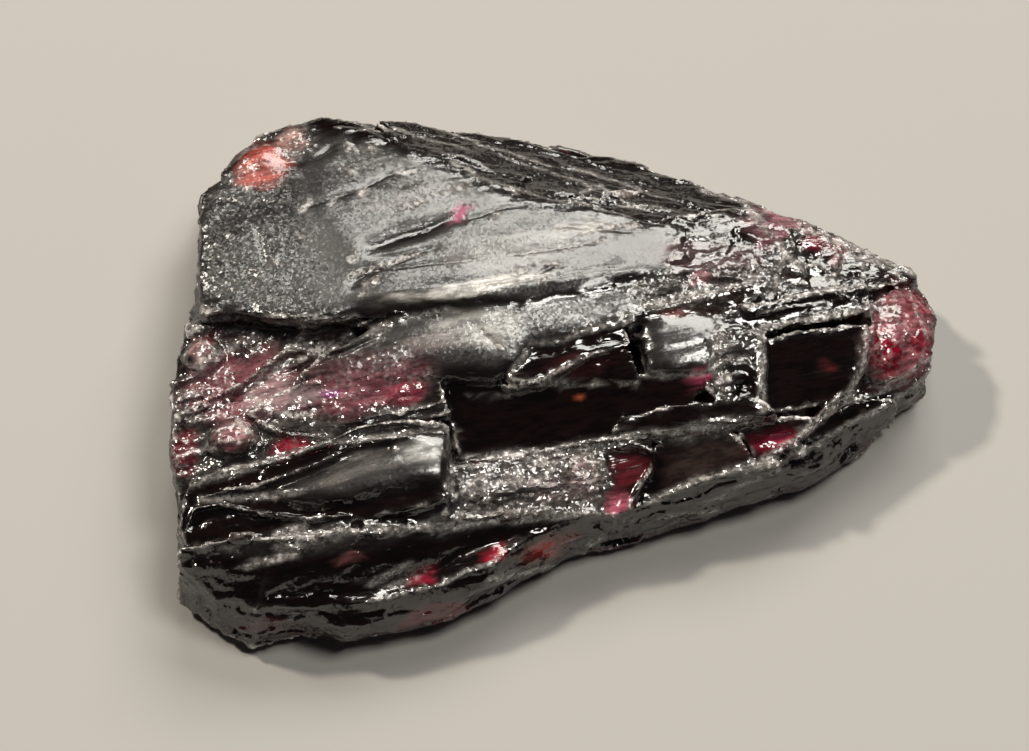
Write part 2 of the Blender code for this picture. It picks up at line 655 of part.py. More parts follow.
def broken_end():
    """The pitted rose-coloured ground of the left end, between the silk face and the front block."""
    return [
        ledge(
            "left_floor",
            [
                (18.6, 32.6), (21.0, 31.8), (25.0, 32.0), (30.0, 32.0), (34.0, 32.6), (37.6, 33.8),
                (37.0, 36.5), (40.5, 38.0), (44.3, 38.4), (44.8, 41.2), (41.0, 42.2), (36.0, 43.2),
                (31.5, 45.0), (26.0, 46.2), (20.5, 47.4), (17.6, 48.0), (17.1, 45.0), (17.2, 40.0),
                (17.8, 36.0),
            ],
            at=(30.0, 40.0), level=13.2, rise=(0.02, 0.16), rough=0.3,
        ),
        ledge(
            "rose_band",
            [
                (24.6, 41.2), (27.5, 39.6), (31.0, 37.8), (34.0, 36.3), (37.6, 35.6), (41.0, 36.6),
                (44.2, 37.6), (44.6, 40.2), (42.0, 41.2), (38.0, 41.6), (35.0, 42.4), (31.0, 43.0),
                (27.5, 42.6),
            ],
            at=(35.0, 40.0), level=14.2, rise=(0.02, 0.26), bow=(0.0, 0.03), rough=0.12, grid=2.8,
        ),
        ridge(
            "pit_border",
            [(20.6, 39.8, 14.0), (24.0, 38.3, 14.4), (28.6, 34.9, 15.0), (31.5, 35.0, 15.1)],
            0.4,
        ),
        ridge(
            "rose_border",
            [
                (28.4, 39.6, 14.5), (30.6, 37.6, 15.0), (33.5, 36.0, 15.3), (36.5, 34.3, 15.8),
                (39.5, 32.9, 16.2),
            ],
            0.5,
        ),
        ridge(
            "scoop_edge",
            [(25.6, 41.8, 13.9), (27.4, 42.9, 13.6), (29.5, 43.3, 13.5), (32.4, 43.3, 13.7)],
            0.3,
        ),
        lump("left_knob", (20.3, 35.8, 13.5), (2.1, 2.0, 1.7), detail=2),
        lump("upper_knob", (19.9, 33.2, 14.2), (1.6, 1.2, 1.2)),
        lump("bright_knob", (23.2, 43.9, 12.6), (2.6, 1.9, 1.6), detail=2),
    ]


def front_block():
    """The striped grey block of the left front, and the crumbling shelf to its right."""
    return [
        ledge(
            "striped_block",
            [
                (18.4, 49.6), (19.2, 47.6), (23.0, 46.6), (28.0, 45.6), (32.0, 44.4), (35.5, 42.9),
                (39.0, 42.1), (42.5, 42.0), (44.9, 42.6), (45.0, 45.0), (44.8, 49.6), (43.0, 50.4),
                (39.0, 51.4), (35.0, 52.2), (31.0, 53.1), (27.0, 53.7), (22.5, 54.2), (18.6, 54.6),
                (17.7, 52.5),
            ],
            at=(36.0, 47.0), level=14.1, rise=(0.04, 0.12), bow=(0.001, 0.012), rough=0.15,
        ),
        ledge(
            "grey_top",
            [
                (27.5, 48.8), (31.0, 47.6), (35.0, 45.8), (39.0, 44.6), (42.5, 43.6), (44.7, 43.5),
                (44.6, 47.6), (41.5, 48.2), (38.0, 49.0), (35.0, 49.8), (32.0, 50.2), (29.0, 50.1),
            ],
            at=(38.0, 46.5), level=15.3, rise=(0.05, -0.02), bow=(0.002, 0.02), rough=0.15,
            depth=4.0,
        ),
        ledge(
            "block_front",
            [
                (34.2, 50.2), (38.0, 49.0), (41.5, 48.2), (44.7, 47.7), (44.7, 51.2), (41.0, 52.2),
                (38.0, 52.6), (35.0, 52.6),
            ],
            at=(40.0, 49.0), level=14.1, rise=(0.03, 0.7), rough=0.12, depth=4.0,
        ),
        ridge(
            "stripe_back",
            [
                (18.8, 48.0, 13.3), (24.0, 46.7, 13.8), (29.0, 45.6, 14.4), (33.0, 44.0, 15.0),
                (36.0, 42.6, 15.3), (40.0, 42.0, 15.5), (44.6, 42.3, 15.5),
            ],
            0.5,
        ),
        ridge(
            "stripe_front",
            [
                (20.0, 49.4, 13.6), (25.0, 48.6, 14.0), (28.6, 47.5, 14.5), (32.0, 46.2, 15.0),
                (34.5, 44.8, 15.4), (37.5, 43.8, 15.7), (44.0, 43.3, 15.8),
            ],
            0.45,
        ),
        ridge(
            "stripe_low",
            [
                (18.4, 52.8, 13.2), (19.4, 50.7, 13.6), (22.0, 50.2, 13.8), (26.0, 51.2, 13.9),
                (31.0, 51.6, 14.0), (35.0, 51.2, 14.0),
            ],
            0.5,
        ),
        ledge(
            "crumb_shelf",
            [
                (45.0, 46.6), (49.0, 46.0), (53.0, 45.4), (57.0, 44.6), (61.0, 43.9), (64.6, 43.6),
                (65.6, 45.2), (64.9, 47.3), (63.6, 49.2), (62.9, 51.2), (61.4, 52.0), (59.6, 51.4),
                (55.0, 51.3), (51.0, 51.3), (47.5, 51.6), (44.5, 52.4), (41.5, 53.0), (43.5, 50.8),
                (44.9, 49.5),
            ],
            at=(52.0, 48.0), level=10.6, rise=(-0.10, 0.33), rough=0.25,
        ),
        ledge(
            "shelf_back",
            [
                (45.2, 46.8), (52.0, 46.1), (57.0, 45.2), (60.5, 45.0), (61.0, 47.4), (56.0, 48.4),
                (51.0, 49.0), (46.0, 49.8),
            ],
            at=(52.0, 47.0), level=11.3, rise=(-0.08, 0.15), rough=0.2, depth=3.0,
        ),
        ridge(
            "shelf_end",
            [
                (60.8, 44.6, 11.7), (63.5, 44.3, 11.6), (65.2, 45.0, 11.2), (65.0, 46.8, 10.3),
                (63.9, 48.6, 9.6), (63.0, 50.3, 9.0), (62.4, 51.8, 8.4),
            ],
            0.4,
        ),
        ridge(
            "front_edge",
            [
                (20.0, 54.3, 12.7), (25.0, 53.9, 13.1), (31.0, 53.5, 13.2), (35.0, 53.0, 13.1),
                (38.5, 53.2, 12.6), (42.5, 52.5, 12.1), (46.0, 51.5, 11.2), (51.0, 51.1, 10.3),
                (56.0, 51.1, 9.6), (59.6, 51.3, 9.2),
            ],
            0.6,
        ),
    ]


def front_flank():
    """The dark glassy flank that falls to the table at the front, steeper and lower to the right."""
    return [
        flank(
            "flank_left",
            [
                [
                    (17.9, 54.8, 12.0), (22.0, 54.2, 12.7), (27.0, 53.8, 13.0), (32.0, 53.4, 12.9),
                    (37.0, 53.2, 12.6), (42.0, 52.6, 12.0), (47.0, 51.5, 10.9), (52.0, 51.2, 10.1),
                    (56.0, 51.2, 9.5), (59.9, 51.4, 8.9),
                ],
                [
                    (17.8, 56.4, 9.8), (22.0, 56.8, 11.0), (26.6, 56.8, 11.3), (32.0, 56.6, 11.3),
                    (37.6, 56.6, 10.6), (42.6, 55.8, 9.9), (47.4, 54.6, 8.9), (51.8, 53.8, 8.2),
                    (55.8, 53.0, 7.9), (59.7, 52.3, 7.6),
                ],
                [
                    (17.8, 58.0, 6.8), (21.6, 59.8, 7.8), (25.8, 60.6, 8.4), (31.0, 60.8, 8.0),
                    (38.0, 60.0, 7.4), (43.0, 58.2, 7.2), (47.8, 57.0, 6.6), (51.4, 56.0, 6.2),
                    (55.6, 54.6, 6.2), (59.4, 53.2, 6.0),
                ],
                [
                    (18.1, 59.5, 3.6), (20.6, 61.8, 2.9), (25.2, 63.9, 2.5), (30.3, 63.1, 2.5),
                    (35.4, 63.9, 2.5), (40.4, 62.6, 2.5), (45.4, 60.9, 2.5), (50.0, 59.2, 2.5),
                    (54.6, 56.3, 2.8), (59.6, 54.0, 3.2),
                ],
            ],
        ),
        flank(
            "flank_middle",
            [
                [
                    (58.8, 51.6, 9.0), (62.6, 51.4, 8.6), (64.6, 50.1, 8.2), (68.0, 49.0, 8.6),
                    (72.0, 47.8, 9.0), (77.8, 46.3, 9.1),
                ],
                [
                    (59.2, 52.6, 7.0), (63.2, 52.2, 6.8), (65.6, 51.2, 6.2), (69.2, 50.0, 6.8),
                    (72.8, 48.8, 7.0), (77.6, 47.4, 6.8),
                ],
                [
                    (59.8, 53.9, 3.8), (63.8, 53.2, 3.6), (66.4, 52.2, 3.6), (70.0, 51.0, 3.6),
                    (73.0, 49.9, 3.6), (77.0, 48.9, 3.6),
                ],
            ],
            rough=0.15,
        ),
        flank(
            "flank_tip",
            [
                [
                    (76.6, 46.6, 9.1), (80.6, 44.7, 9.0), (84.0, 43.1, 8.7), (87.0, 41.6, 7.9),
                    (89.4, 40.4, 7.2),
                ],
                [
                    (77.0, 47.8, 6.8), (80.8, 46.8, 6.2), (84.0, 44.8, 6.2), (87.2, 42.6, 6.2),
                    (89.2, 41.1, 5.8),
                ],
                [
                    (77.2, 49.0, 3.6), (80.4, 48.5, 3.2), (83.6, 46.2, 3.2), (86.8, 43.6, 3.8),
                    (88.8, 41.8, 3.8),
                ],
            ],
            rough=0.15,
        ),
    ]


def splintered_edges():
    """The rows of small blades where the ledges have crumbled."""
    front = [(24.0, 54.0, 12.9), (35.0, 53.0, 12.9), (46.0, 51.6, 11.0), (59.0, 51.2, 9.2)]
    shelf = [(46.0, 49.8, 10.8), (52.0, 49.6, 10.2), (60.0, 49.0, 9.5)]
    crumbs = [(71.8, 34.0, 14.6), (73.6, 36.6, 14.0), (75.4, 39.4, 13.2)]
    far = [(60.0, 18.6, 13.6), (68.0, 21.6, 14.4), (77.0, 23.0, 13.6)]
    field = [(62.0, 29.4, 15.8), (70.0, 27.8, 15.3), (78.0, 27.4, 14.2)]
    left = [(18.6, 38.0, 13.6), (19.6, 42.0, 12.9), (19.4, 46.4, 12.4)]
    made = splinters("front_edge_blades", front, 14, 3.2, 0.55)
    made += splinters("shelf_blades", shelf, 9, 2.6, 0.55)
    made += splinters("crumb_blades", crumbs, 8, 2.5, 0.6)
    made += splinters("far_blades", far, 7, 3.4, 0.55)
    made += splinters("field_blades", field, 7, 3.0, 0.5)
    made += splinters("left_blades", left, 8, 2.4, 0.65)
    return made


def pits():
    """The cutters of the pits and hollows."""
    return [
        lump("dark_pit", (33.2, 33.9, 15.2), (3.6, 1.5, 1.5), detail=2),
        lump("second_pit", (29.8, 36.4, 14.6), (3.0, 1.3, 1.3)),
        lump("low_pit", (26.6, 38.0, 14.2), (2.2, 1.0, 1.0)),
        lump("left_pit", (20.8, 51.9, 14.0), (1.8, 1.1, 1.3)),
        lump("silk_pit", (35.6, 27.4, 18.6), (1.9, 1.1, 1.1), turn=0.0),
        lump("eye_pit", (56.4, 27.2, 18.3), (2.4, 1.0, 1.0), turn=14.0),
        lump("silk_groove", (42.4, 22.6, 18.6), (5.2, 0.5, 1.0), turn=18.0),
        lump("red_shelf_pit", (63.0, 46.8, 11.2), (1.8, 1.3, 1.3), turn=35.0),
        lump("low_shelf_pit", (62.0, 49.9, 9.6), (1.0, 1.6, 1.0), turn=-20.0),
        lump("pocket_pit", (77.6, 44.1, 10.5), (2.4, 1.0, 1.1), turn=24.0),
        lump("corner_pit", (81.3, 25.0, 13.8), (1.5, 1.4, 1.3)),
        lump("toe_pit", (85.6, 27.2, 11.4), (1.5, 1.0, 1.0)),
    ]


def joined(whole, members, operation):
    """A mesh: the whole with the members added to it, or taken out of it."""
    group = bpy.data.collections.new(operation)
    bpy.context.scene.collection.children.link(group)
    for piece in members:
        bpy.context.scene.collection.objects.unlink(piece)
        group.objects.link(piece)
    step = whole.modifiers.new(operation, "BOOLEAN")
    step.operation = operation
    step.operand_type = "COLLECTION"
    step.collection = group
    step.use_self = operation == "UNION"
    graph = bpy.context.evaluated_depsgraph_get()
    mesh = bpy.data.meshes.new_from_object(whole.evaluated_get(graph))
    for piece in [whole, *members]:
        bpy.data.objects.remove(piece)
    return mesh


def neighbours(points, faces):
    """For each face and each of its sides, the face across that side with stone between them.

    Where four faces or more meet in one side, they are taken in turn around it: one that ends a
    wedge of stone belongs with the one that begins it.
    """
    sides = {}
    for i, face in enumerate(faces):
        for a, b in zip(face, face[1:] + face[:1]):
            sides.setdefault((min(a, b), max(a, b)), []).append((i, a < b, sum(face) - a - b))
    across = {}
    for (a, b), members in sides.items():
        if len(members) > 2:
            axis = (points[b] - points[a]).normalized()
            flat = axis.orthogonal().normalized()
            upright = axis.cross(flat)

            def turn(member):
                arm = points[member[2]] - points[a]
                return math.atan2(arm.dot(upright), arm.dot(flat))

            members.sort(key=turn)
            if members[0][1]:
                members.append(members.pop(0))
        for one, other in zip(members[::2], members[1::2]):
            across[one[0], (a, b)] = other[0]
            across[other[0], (a, b)] = one[0]
    return across


def unpinched(points, faces):
    """Part the surface wherever it touches itself in a line or a point, by a hair's breadth.

    Two faces that lie back to back on the same corners have nothing between them and both go.
    """
    alike = {}
    for face in faces:
        alike[frozenset(face)] = alike.get(frozenset(face), 0) + 1
    faces = [face for face in faces if alike[frozenset(face)] == 1]
    across = neighbours(points, faces)
    around = {}
    for i, face in enumerate(faces):
        for k in face:
            around.setdefault(k, set()).add(i)
    parted = [list(face) for face in faces]
    for vert, unseen in around.items():
        fans = []
        while unseen:
            fan, ahead = [], [unseen.pop()]
            while ahead:
                i = ahead.pop()
                fan.append(i)
                for k in faces[i]:
                    other = across.get((i, (min(vert, k), max(vert, k))))
                    if other in unseen:
                        unseen.discard(other)
                        ahead.append(other)
            fans.append(fan)
        for fan in fans[1:]:
            centre = sum((points[k] for i in fan for k in faces[i]), Vector()) / (3 * len(fan))
            points.append(points[vert] + (centre - points[vert]).normalized() * HAIR)
            for i in fan:
                parted[i][parted[i].index(vert)] = len(points) - 1
    return [tuple(face) for face in parted]


def crossed(a, b, c):
    """The normal of the triangle, as long as twice its area."""
    return (b - a).cross(c - a)


def folds(points, corners, old, new, allowed):
    """True if moving the old corner onto the new one turns this face by more than allowed."""
    before = crossed(*(points[k] for k in corners))
    after = crossed(*(points[new if k == old else k] for k in corners))
    return after.length < THINNEST or before.angle(after, 0.0) > allowed


def merged(points, faces):
    """The triangles without the corners that no one would miss: those in a flat, and chips' ends.

    A corner goes only where the surface stays closed: its edge has two faces, and the two ends
    share just the two corners across from that edge.
    """
    around = [set() for _ in points]
    for i, face in enumerate(faces):
        for k in face:
            around[k].add(i)
    for _ in range(MERGE_ROUNDS):
        for old in range(len(points)):
            beside = {k for i in around[old] for k in faces[i]} - {old}
            for new in sorted(beside, key=lambda k: ((points[k] - points[old]).length, k)):
                gone = around[old] & around[new]
                shared = beside & {k for i in around[new] for k in faces[i]} - {new}
                near = (points[new] - points[old]).length < SHORTEST_EDGE
                allowed = math.radians(CHIP_TURN if near else FLAT_SEAM)
                kept = around[old] - gone
                if len(gone) != 2 or len(shared) != 2:
                    continue
                if any(folds(points, faces[i], old, new, allowed) for i in kept):
                    continue
                for i in gone:
                    for k in faces[i]:
                        around[k].discard(i)
                for i in kept:
                    faces[i] = tuple(new if k == old else k for k in faces[i])
                    around[new].add(i)
                around[old] = set()
                break
    return [faces[i] for i in sorted(set().union(*around))]


def largest_body(faces, count):
    """The faces of the main body, without loose chips and the hollows shut inside it."""
    leader = list(range(count))

    def root(k):
        while leader[k] != k:
            leader[k] = leader[leader[k]]
            k = leader[k]
        return k

    for face in faces:
        for k in face[1:]:
            leader[root(k)] = root(face[0])
    sizes = {}
    for face in faces:
        sizes[root(face[0])] = sizes.get(root(face[0]), 0) + 1
    biggest = max(sizes, key=sizes.get)
    return [face for face in faces if root(face[0]) == biggest]


def cleaned(rough_mesh, name):
    """A mesh of the same closed body: no loose chip, no sliver, no needless corner in a flat."""
    shape = bmesh.new()
    shape.from_mesh(rough_mesh)
    bmesh.ops.triangulate(shape, faces=shape.faces)
    points = [v.co.copy() for v in shape.verts]
    faces = [tuple(v.index for v in face.verts) for face in shape.faces]
    shape.free()
    faces = merged(points, unpinched(points, largest_body(faces, len(points))))
    faces = largest_body(faces, len(points))
    used = sorted({k for face in faces for k in face})
    place = {k: i for i, k in enumerate(used)}
    mesh = bpy.data.meshes.new(name)
    mesh.from_pydata([points[k] for k in used], [], [[place[k] for k in face] for face in faces])
    mesh.update()
    return mesh


def painite_material():
    """Very dark red, glassy."""
    made = bpy.data.materials.new("painite")
    made.use_nodes = True
    shader = made.node_tree.nodes["Principled BSDF"]
    shader.inputs["Base Color"].default_value = (0.05, 0.012, 0.015, 1.0)
    shader.inputs["Roughness"].default_value = 0.12
    shader.inputs["IOR"].default_value = 1.8
    return made


def main():
    for old in list(bpy.data.objects):
        bpy.data.objects.remove(old)
    pieces = core() + silk_side() + hidden_back() + far_corner() + second_face() + middle_blocks() + tip()
    pieces += broken_end() + front_block() + front_flank() + splintered_edges()
    whole = cleaned(joined(pieces[0], pieces[1:], "UNION"), "whole")
    whole = bpy.data.objects.new("whole", whole)
    bpy.context.scene.collection.objects.link(whole)
    mesh = cleaned(joined(whole, pits(), "DIFFERENCE"), "painite_crystal")
    low, high = (Vector(f(v.co[k] for v in mesh.vertices) for k in range(3)) for f in (min, max))
    middle = Vector(((low.x + high.x) / 2, (low.y + high.y) / 2, low.z))
    mesh.transform(Matrix.Scale(MM, 4) @ Matrix.Translation(-middle))
    mesh.materials.append(painite_material())
    crystal = bpy.data.objects.new("painite_crystal", mesh)
    bpy.context.scene.collection.objects.link(crystal)


main()
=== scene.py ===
import math

import bpy
import numpy as np
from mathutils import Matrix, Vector


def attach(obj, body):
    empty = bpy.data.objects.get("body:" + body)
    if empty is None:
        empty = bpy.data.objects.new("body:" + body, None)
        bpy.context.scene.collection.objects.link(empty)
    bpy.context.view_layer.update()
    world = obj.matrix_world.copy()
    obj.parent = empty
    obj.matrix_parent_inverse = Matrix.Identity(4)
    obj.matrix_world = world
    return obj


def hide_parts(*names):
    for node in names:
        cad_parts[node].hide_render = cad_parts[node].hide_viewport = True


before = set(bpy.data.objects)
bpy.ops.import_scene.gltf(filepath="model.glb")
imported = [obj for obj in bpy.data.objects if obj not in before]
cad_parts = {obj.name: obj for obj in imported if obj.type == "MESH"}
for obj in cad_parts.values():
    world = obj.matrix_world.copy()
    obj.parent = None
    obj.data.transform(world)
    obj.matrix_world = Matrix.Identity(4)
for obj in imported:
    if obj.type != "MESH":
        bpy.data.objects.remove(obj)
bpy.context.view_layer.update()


# The camera.
# The stone lies on a table and is seen from 65 degrees above it, 0.4 m away, through a long lens.
# The middle of the picture is a point on the table a little behind and left of the stone's middle.
SIGHT_TILT = math.radians(65.0)
SIGHT_DISTANCE = 0.400
PICTURE_WIDTH = 0.1029
SENSOR = 36.0
PICTURE_MIDDLE = Vector((-0.0038845, 0.0021289, 0.0))

sight = Vector((0.0, -math.cos(SIGHT_TILT), math.sin(SIGHT_TILT)))
camera_data = bpy.data.cameras.new("camera")
camera_data.sensor_width = SENSOR
camera_data.lens = SENSOR * SIGHT_DISTANCE / PICTURE_WIDTH
camera_data.clip_start = 0.01
camera = bpy.data.objects.new("camera", camera_data)
camera.location = PICTURE_MIDDLE + sight * SIGHT_DISTANCE
camera.rotation_euler = sight.to_track_quat("Z", "Y").to_euler()
bpy.context.scene.collection.objects.link(camera)
bpy.context.scene.camera = camera


# The table top.
# Plain matte card, laid flat, pale and without a pattern. It only carries the stone and its shadow.
def linear(hex_colour):
    """The linear colour of an sRGB hex value, with full alpha."""
    parts = [int(hex_colour[k:k + 2], 16) / 255 for k in (1, 3, 5)]
    return [c / 12.92 if c <= 0.04045 else ((c + 0.055) / 1.055) ** 2.4 for c in parts] + [1.0]


TABLE_WIDTH = 3.0
CARD_COLOUR = "#ACA9A5"

# Card: pressed paper, so matte that the eye sees an even warm grey with hardly any shine
card = bpy.data.materials.new("matte_card")
card.use_nodes = True
card_shader = card.node_tree.nodes["Principled BSDF"]
card_shader.inputs["Base Color"].default_value = linear(CARD_COLOUR)
card_shader.inputs["Roughness"].default_value = 0.85
card_shader.inputs["Specular IOR Level"].default_value = 0.2

table_mesh = bpy.data.meshes.new("table_top")
half = TABLE_WIDTH / 2
table_mesh.from_pydata(
    [(-half, -half, 0.0), (half, -half, 0.0), (half, half, 0.0), (-half, half, 0.0)],
    [],
    [(0, 1, 2, 3)],
)
table_top = bpy.data.objects.new("table_top", table_mesh)
table_mesh.materials.append(card)
bpy.context.scene.collection.objects.link(table_top)


# The lamps.
# Two soft boxes, behind the stone and high on its right, make the broad split faces shine silver
# and leave the front dark. A small lamp at the back left throws the shadow and makes glints.
LAMP_DISTANCE = 1.2
SOFT_WHITE = "#FFFCF4"
WARM_WHITE = "#FFF6E8"
STUDIO_GREY = "#2A2C2E"


def soft_box(name, azimuth, elevation, width, height, watts, colour):
    """A soft box that faces the stone. Azimuth is from the front, counter-clockwise from above."""
    turn = math.radians(azimuth)
    rise = math.radians(elevation)
    way = Vector((
        math.sin(turn) * math.cos(rise),
        -math.cos(turn) * math.cos(rise),
        math.sin(rise),
    ))
    box = bpy.data.lights.new(name, "AREA")
    box.shape = "RECTANGLE"
    box.size = width
    box.size_y = height
    box.energy = watts
    box.color = linear(colour)[:3]
    holder = bpy.data.objects.new(name, box)
    holder.location = way * LAMP_DISTANCE
    holder.rotation_euler = way.to_track_quat("Z", "Y").to_euler()
    bpy.context.scene.collection.objects.link(holder)


soft_box("soft_box_back", 161.0, 48.0, 0.74, 0.54, 11.0, SOFT_WHITE)
soft_box("soft_box_right", 96.0, 71.0, 0.32, 0.32, 6.5, SOFT_WHITE)
soft_box("lamp_back_left", 240.0, 50.0, 0.10, 0.10, 9.0, WARM_WHITE)

world = bpy.data.worlds.new("dim_studio")
world.use_nodes = True
world.node_tree.nodes["Background"].inputs["Color"].default_value = linear(STUDIO_GREY)
world.node_tree.nodes["Background"].inputs["Strength"].default_value = 0.8
bpy.context.scene.world = world
bpy.context.scene.view_settings.view_transform = "Standard"


# The crystal.
# One broken crystal of painite, a dark red gem mineral that splits in long flat steps. It was
# broken out of the rock: glassy where it split clean, rose and whitish where it is crushed inside.

# How far the grain is turned from the picture's width, the finest face in metres, the most faces
GRAIN = math.radians(13.0)
FINEST = 0.00021
MOST_FACES = 190000

# The middle of the picture, in millimetres from its top left corner
PICTURE_CENTRE = (51.45, 37.55)


def mixed(cells, seed):
    """A scrambled value from 0 to 1 for each cell of whole numbers."""
    whole = cells.astype(np.int64).astype(np.uint32)
    value = whole[:, 0] * np.uint32(374761393) + whole[:, 1] * np.uint32(668265263)
    value = value + whole[:, 2] * np.uint32(2246822519) + np.uint32(seed * 2654435 % 4294967291)
    value = (value ^ (value >> np.uint32(13))) * np.uint32(1274126177)
    value = value ^ (value >> np.uint32(16))
    return value.astype(np.float64) / 4294967295.0


def noise(points, seed):
    """Smooth noise from -1 to 1 at each point, with features about one unit wide."""
    cell = np.floor(points)
    share = points - cell
    share = share * share * share * (share * (share * 6.0 - 15.0) + 10.0)
    total = np.zeros(len(points))
    for corner in np.ndindex(2, 2, 2):
        weight = np.prod(np.where(np.array(corner) == 1, share, 1.0 - share), axis=1)
        total += weight * mixed(cell + np.array(corner), seed)
    return 2.0 * total - 1.0


def layered(points, seed, layers=3):
    """Noise with finer noise on it."""
    total = np.zeros(len(points))
    for k in range(layers):
        total += noise(points * 2.0 ** k, seed + 17 * k) * 0.5 ** k
    return total / (2.0 - 0.5 ** (layers - 1))


def facets(points, seed):
    """Heights from about -1 to 1 of small flat breaks, each with its own height and tilt."""
    cell = np.floor(points)
    nearest = np.full(len(points), 9.0)
    height = np.zeros(len(points))
    for step in np.ndindex(3, 3, 3):
        other = cell + np.array(step) - 1.0
        middle = np.stack([mixed(other, seed + k) for k in range(3)], axis=1) + other
        offset = points - middle
        gap = np.einsum("ij,ij->i", offset, offset)
        tilt = np.stack([mixed(other, seed + 3 + k) for k in range(4)], axis=1) * 2.0 - 1.0
        own = 0.5 * tilt[:, 3] + np.einsum("ij,ij->i", tilt[:, :3], offset)
        height = np.where(gap < nearest, own, height)
        nearest = np.minimum(nearest, gap)
    return height


def ramp(value, low, high):
    """0 below low, 1 above high, smooth between."""
    share = np.clip((value - low) / (high - low), 0.0, 1.0)
    return share * share * (3.0 - 2.0 * share)


def on_picture(points):
    """Where each point shows in the picture, in millimetres from its top left corner."""
    offset = points - np.array(PICTURE_MIDDLE)
    up = np.array((0.0, math.sin(SIGHT_TILT), math.cos(SIGHT_TILT)))
    depth = SIGHT_DISTANCE - offset @ np.array(sight)
    across = PICTURE_CENTRE[0] + 1000.0 * offset[:, 0] * SIGHT_DISTANCE / depth
    down = PICTURE_CENTRE[1] - 1000.0 * (offset @ up) * SIGHT_DISTANCE / depth
    return np.stack([across, down], axis=1)


def from_line(picture, start, end):
    """Distance on the picture from the straight line between two points."""
    start, end = np.array(start), np.array(end)
    along = end - start
    share = np.clip((picture - start) @ along / (along @ along), 0.0, 1.0)
    return np.linalg.norm(picture - start - share[:, None] * along, axis=1)


def patch(picture, outline, soft):
    """1 inside the outline on the picture, 0 outside, over a border that is soft mm wide."""
    within = np.zeros(len(picture), dtype=bool)
    gap = np.full(len(picture), 1e9)
    for (ax, ay), (bx, by) in zip(outline, outline[1:] + outline[:1]):
        over = (ay > picture[:, 1]) != (by > picture[:, 1])
        side = picture[:, 0] < ax + (picture[:, 1] - ay) / ((by - ay) or 1e-9) * (bx - ax)
        within ^= over & side
        gap = np.minimum(gap, from_line(picture, (ax, ay), (bx, by)))
    return ramp(np.where(within, gap, -gap), -soft / 2, soft / 2)


def zone(picture, patches, soft):
    """The strongest of several patches at each point."""
    best = np.zeros(len(picture))
    for strength, outline in patches:
        best = np.maximum(best, strength * patch(picture, outline, soft))
    return best


def spot(picture, at, half_length, half_width, turn):
    """1 at a spot on the picture, fading to 0 at its half length and half width."""
    angle = math.radians(turn)
    offset = picture - np.array(at)
    along = offset[:, 0] * math.cos(angle) - offset[:, 1] * math.sin(angle)
    beside = offset[:, 0] * math.sin(angle) + offset[:, 1] * math.cos(angle)
    reach = np.sqrt((along / half_length) ** 2 + (beside / half_width) ** 2)
    return 1.0 - ramp(reach, 0.45, 1.0)


def mesh_of(name, source, build):
    """A new mesh: the source's with the modifiers that build puts on its object."""
    holder = bpy.data.objects.new(name, source)
    bpy.context.scene.collection.objects.link(holder)
    build(holder.modifiers)
    graph = bpy.context.evaluated_depsgraph_get()
    made = bpy.data.meshes.new_from_object(holder.evaluated_get(graph))
    bpy.data.objects.remove(holder)
    return made


def even_grain(modifiers):
    """Small even faces all over, which the relief is worked into."""
    step = modifiers.new("even grain", "REMESH")
    step.mode = "VOXEL"
    step.voxel_size = FINEST


def fewer_faces(modifiers):
    """Fewer faces where the surface is flat."""
    step = modifiers.new("fewer faces", "DECIMATE")
    step.ratio = kept_share


def places(mesh):
    """The mesh's points and their normals."""
    count = len(mesh.vertices)
    points = np.empty(count * 3)
    mesh.vertices.foreach_get("co", points)
    normals = np.empty(count * 3)
    mesh.vertex_normals.foreach_get("vector", normals)
    return points.reshape(-1, 3), normals.reshape(-1, 3)


def with_grain(points):
    """The points in millimetres, along the grain, across it and up."""
    along = points[:, 0] * math.cos(GRAIN) + points[:, 1] * math.sin(GRAIN)
    across = points[:, 1] * math.cos(GRAIN) - points[:, 0] * math.sin(GRAIN)
    return 1000.0 * np.stack([along, across, points[:, 2]], axis=1)


# Kinds of ground, each patch with its strength and its outline on the picture in millimetres.
# Here the split faces are satin smooth
SATIN_FACES = [
    (1.0, [
        (31.0, 13.0), (37.0, 14.5), (45.0, 17.0), (50.0, 20.0), (57.0, 21.0), (63.0, 22.4),
        (67.4, 23.8), (67.0, 26.2), (60.0, 28.6), (52.0, 30.0), (40.0, 30.6), (33.0, 31.0),
        (30.0, 28.0), (29.0, 20.0),
    ]),
    (0.55, [
        (20.5, 20.0), (24.5, 15.5), (31.0, 12.5), (31.0, 20.0), (33.0, 31.0), (24.0, 30.5),
        (20.0, 30.0),
    ]),
    (0.9, [
        (33.0, 34.6), (41.0, 31.5), (52.0, 30.4), (62.0, 28.8), (66.0, 29.0), (60.0, 32.6),
        (53.0, 34.5), (50.0, 37.4), (42.0, 37.0), (34.0, 39.0),
    ]),
    (0.6, [(63.4, 32.4), (72.0, 31.8), (71.2, 37.0), (64.2, 37.2)]),
    (0.7, [(27.0, 48.8), (35.0, 45.2), (44.7, 43.5), (44.6, 48.0), (38.0, 49.2), (31.0, 50.3)]),
]

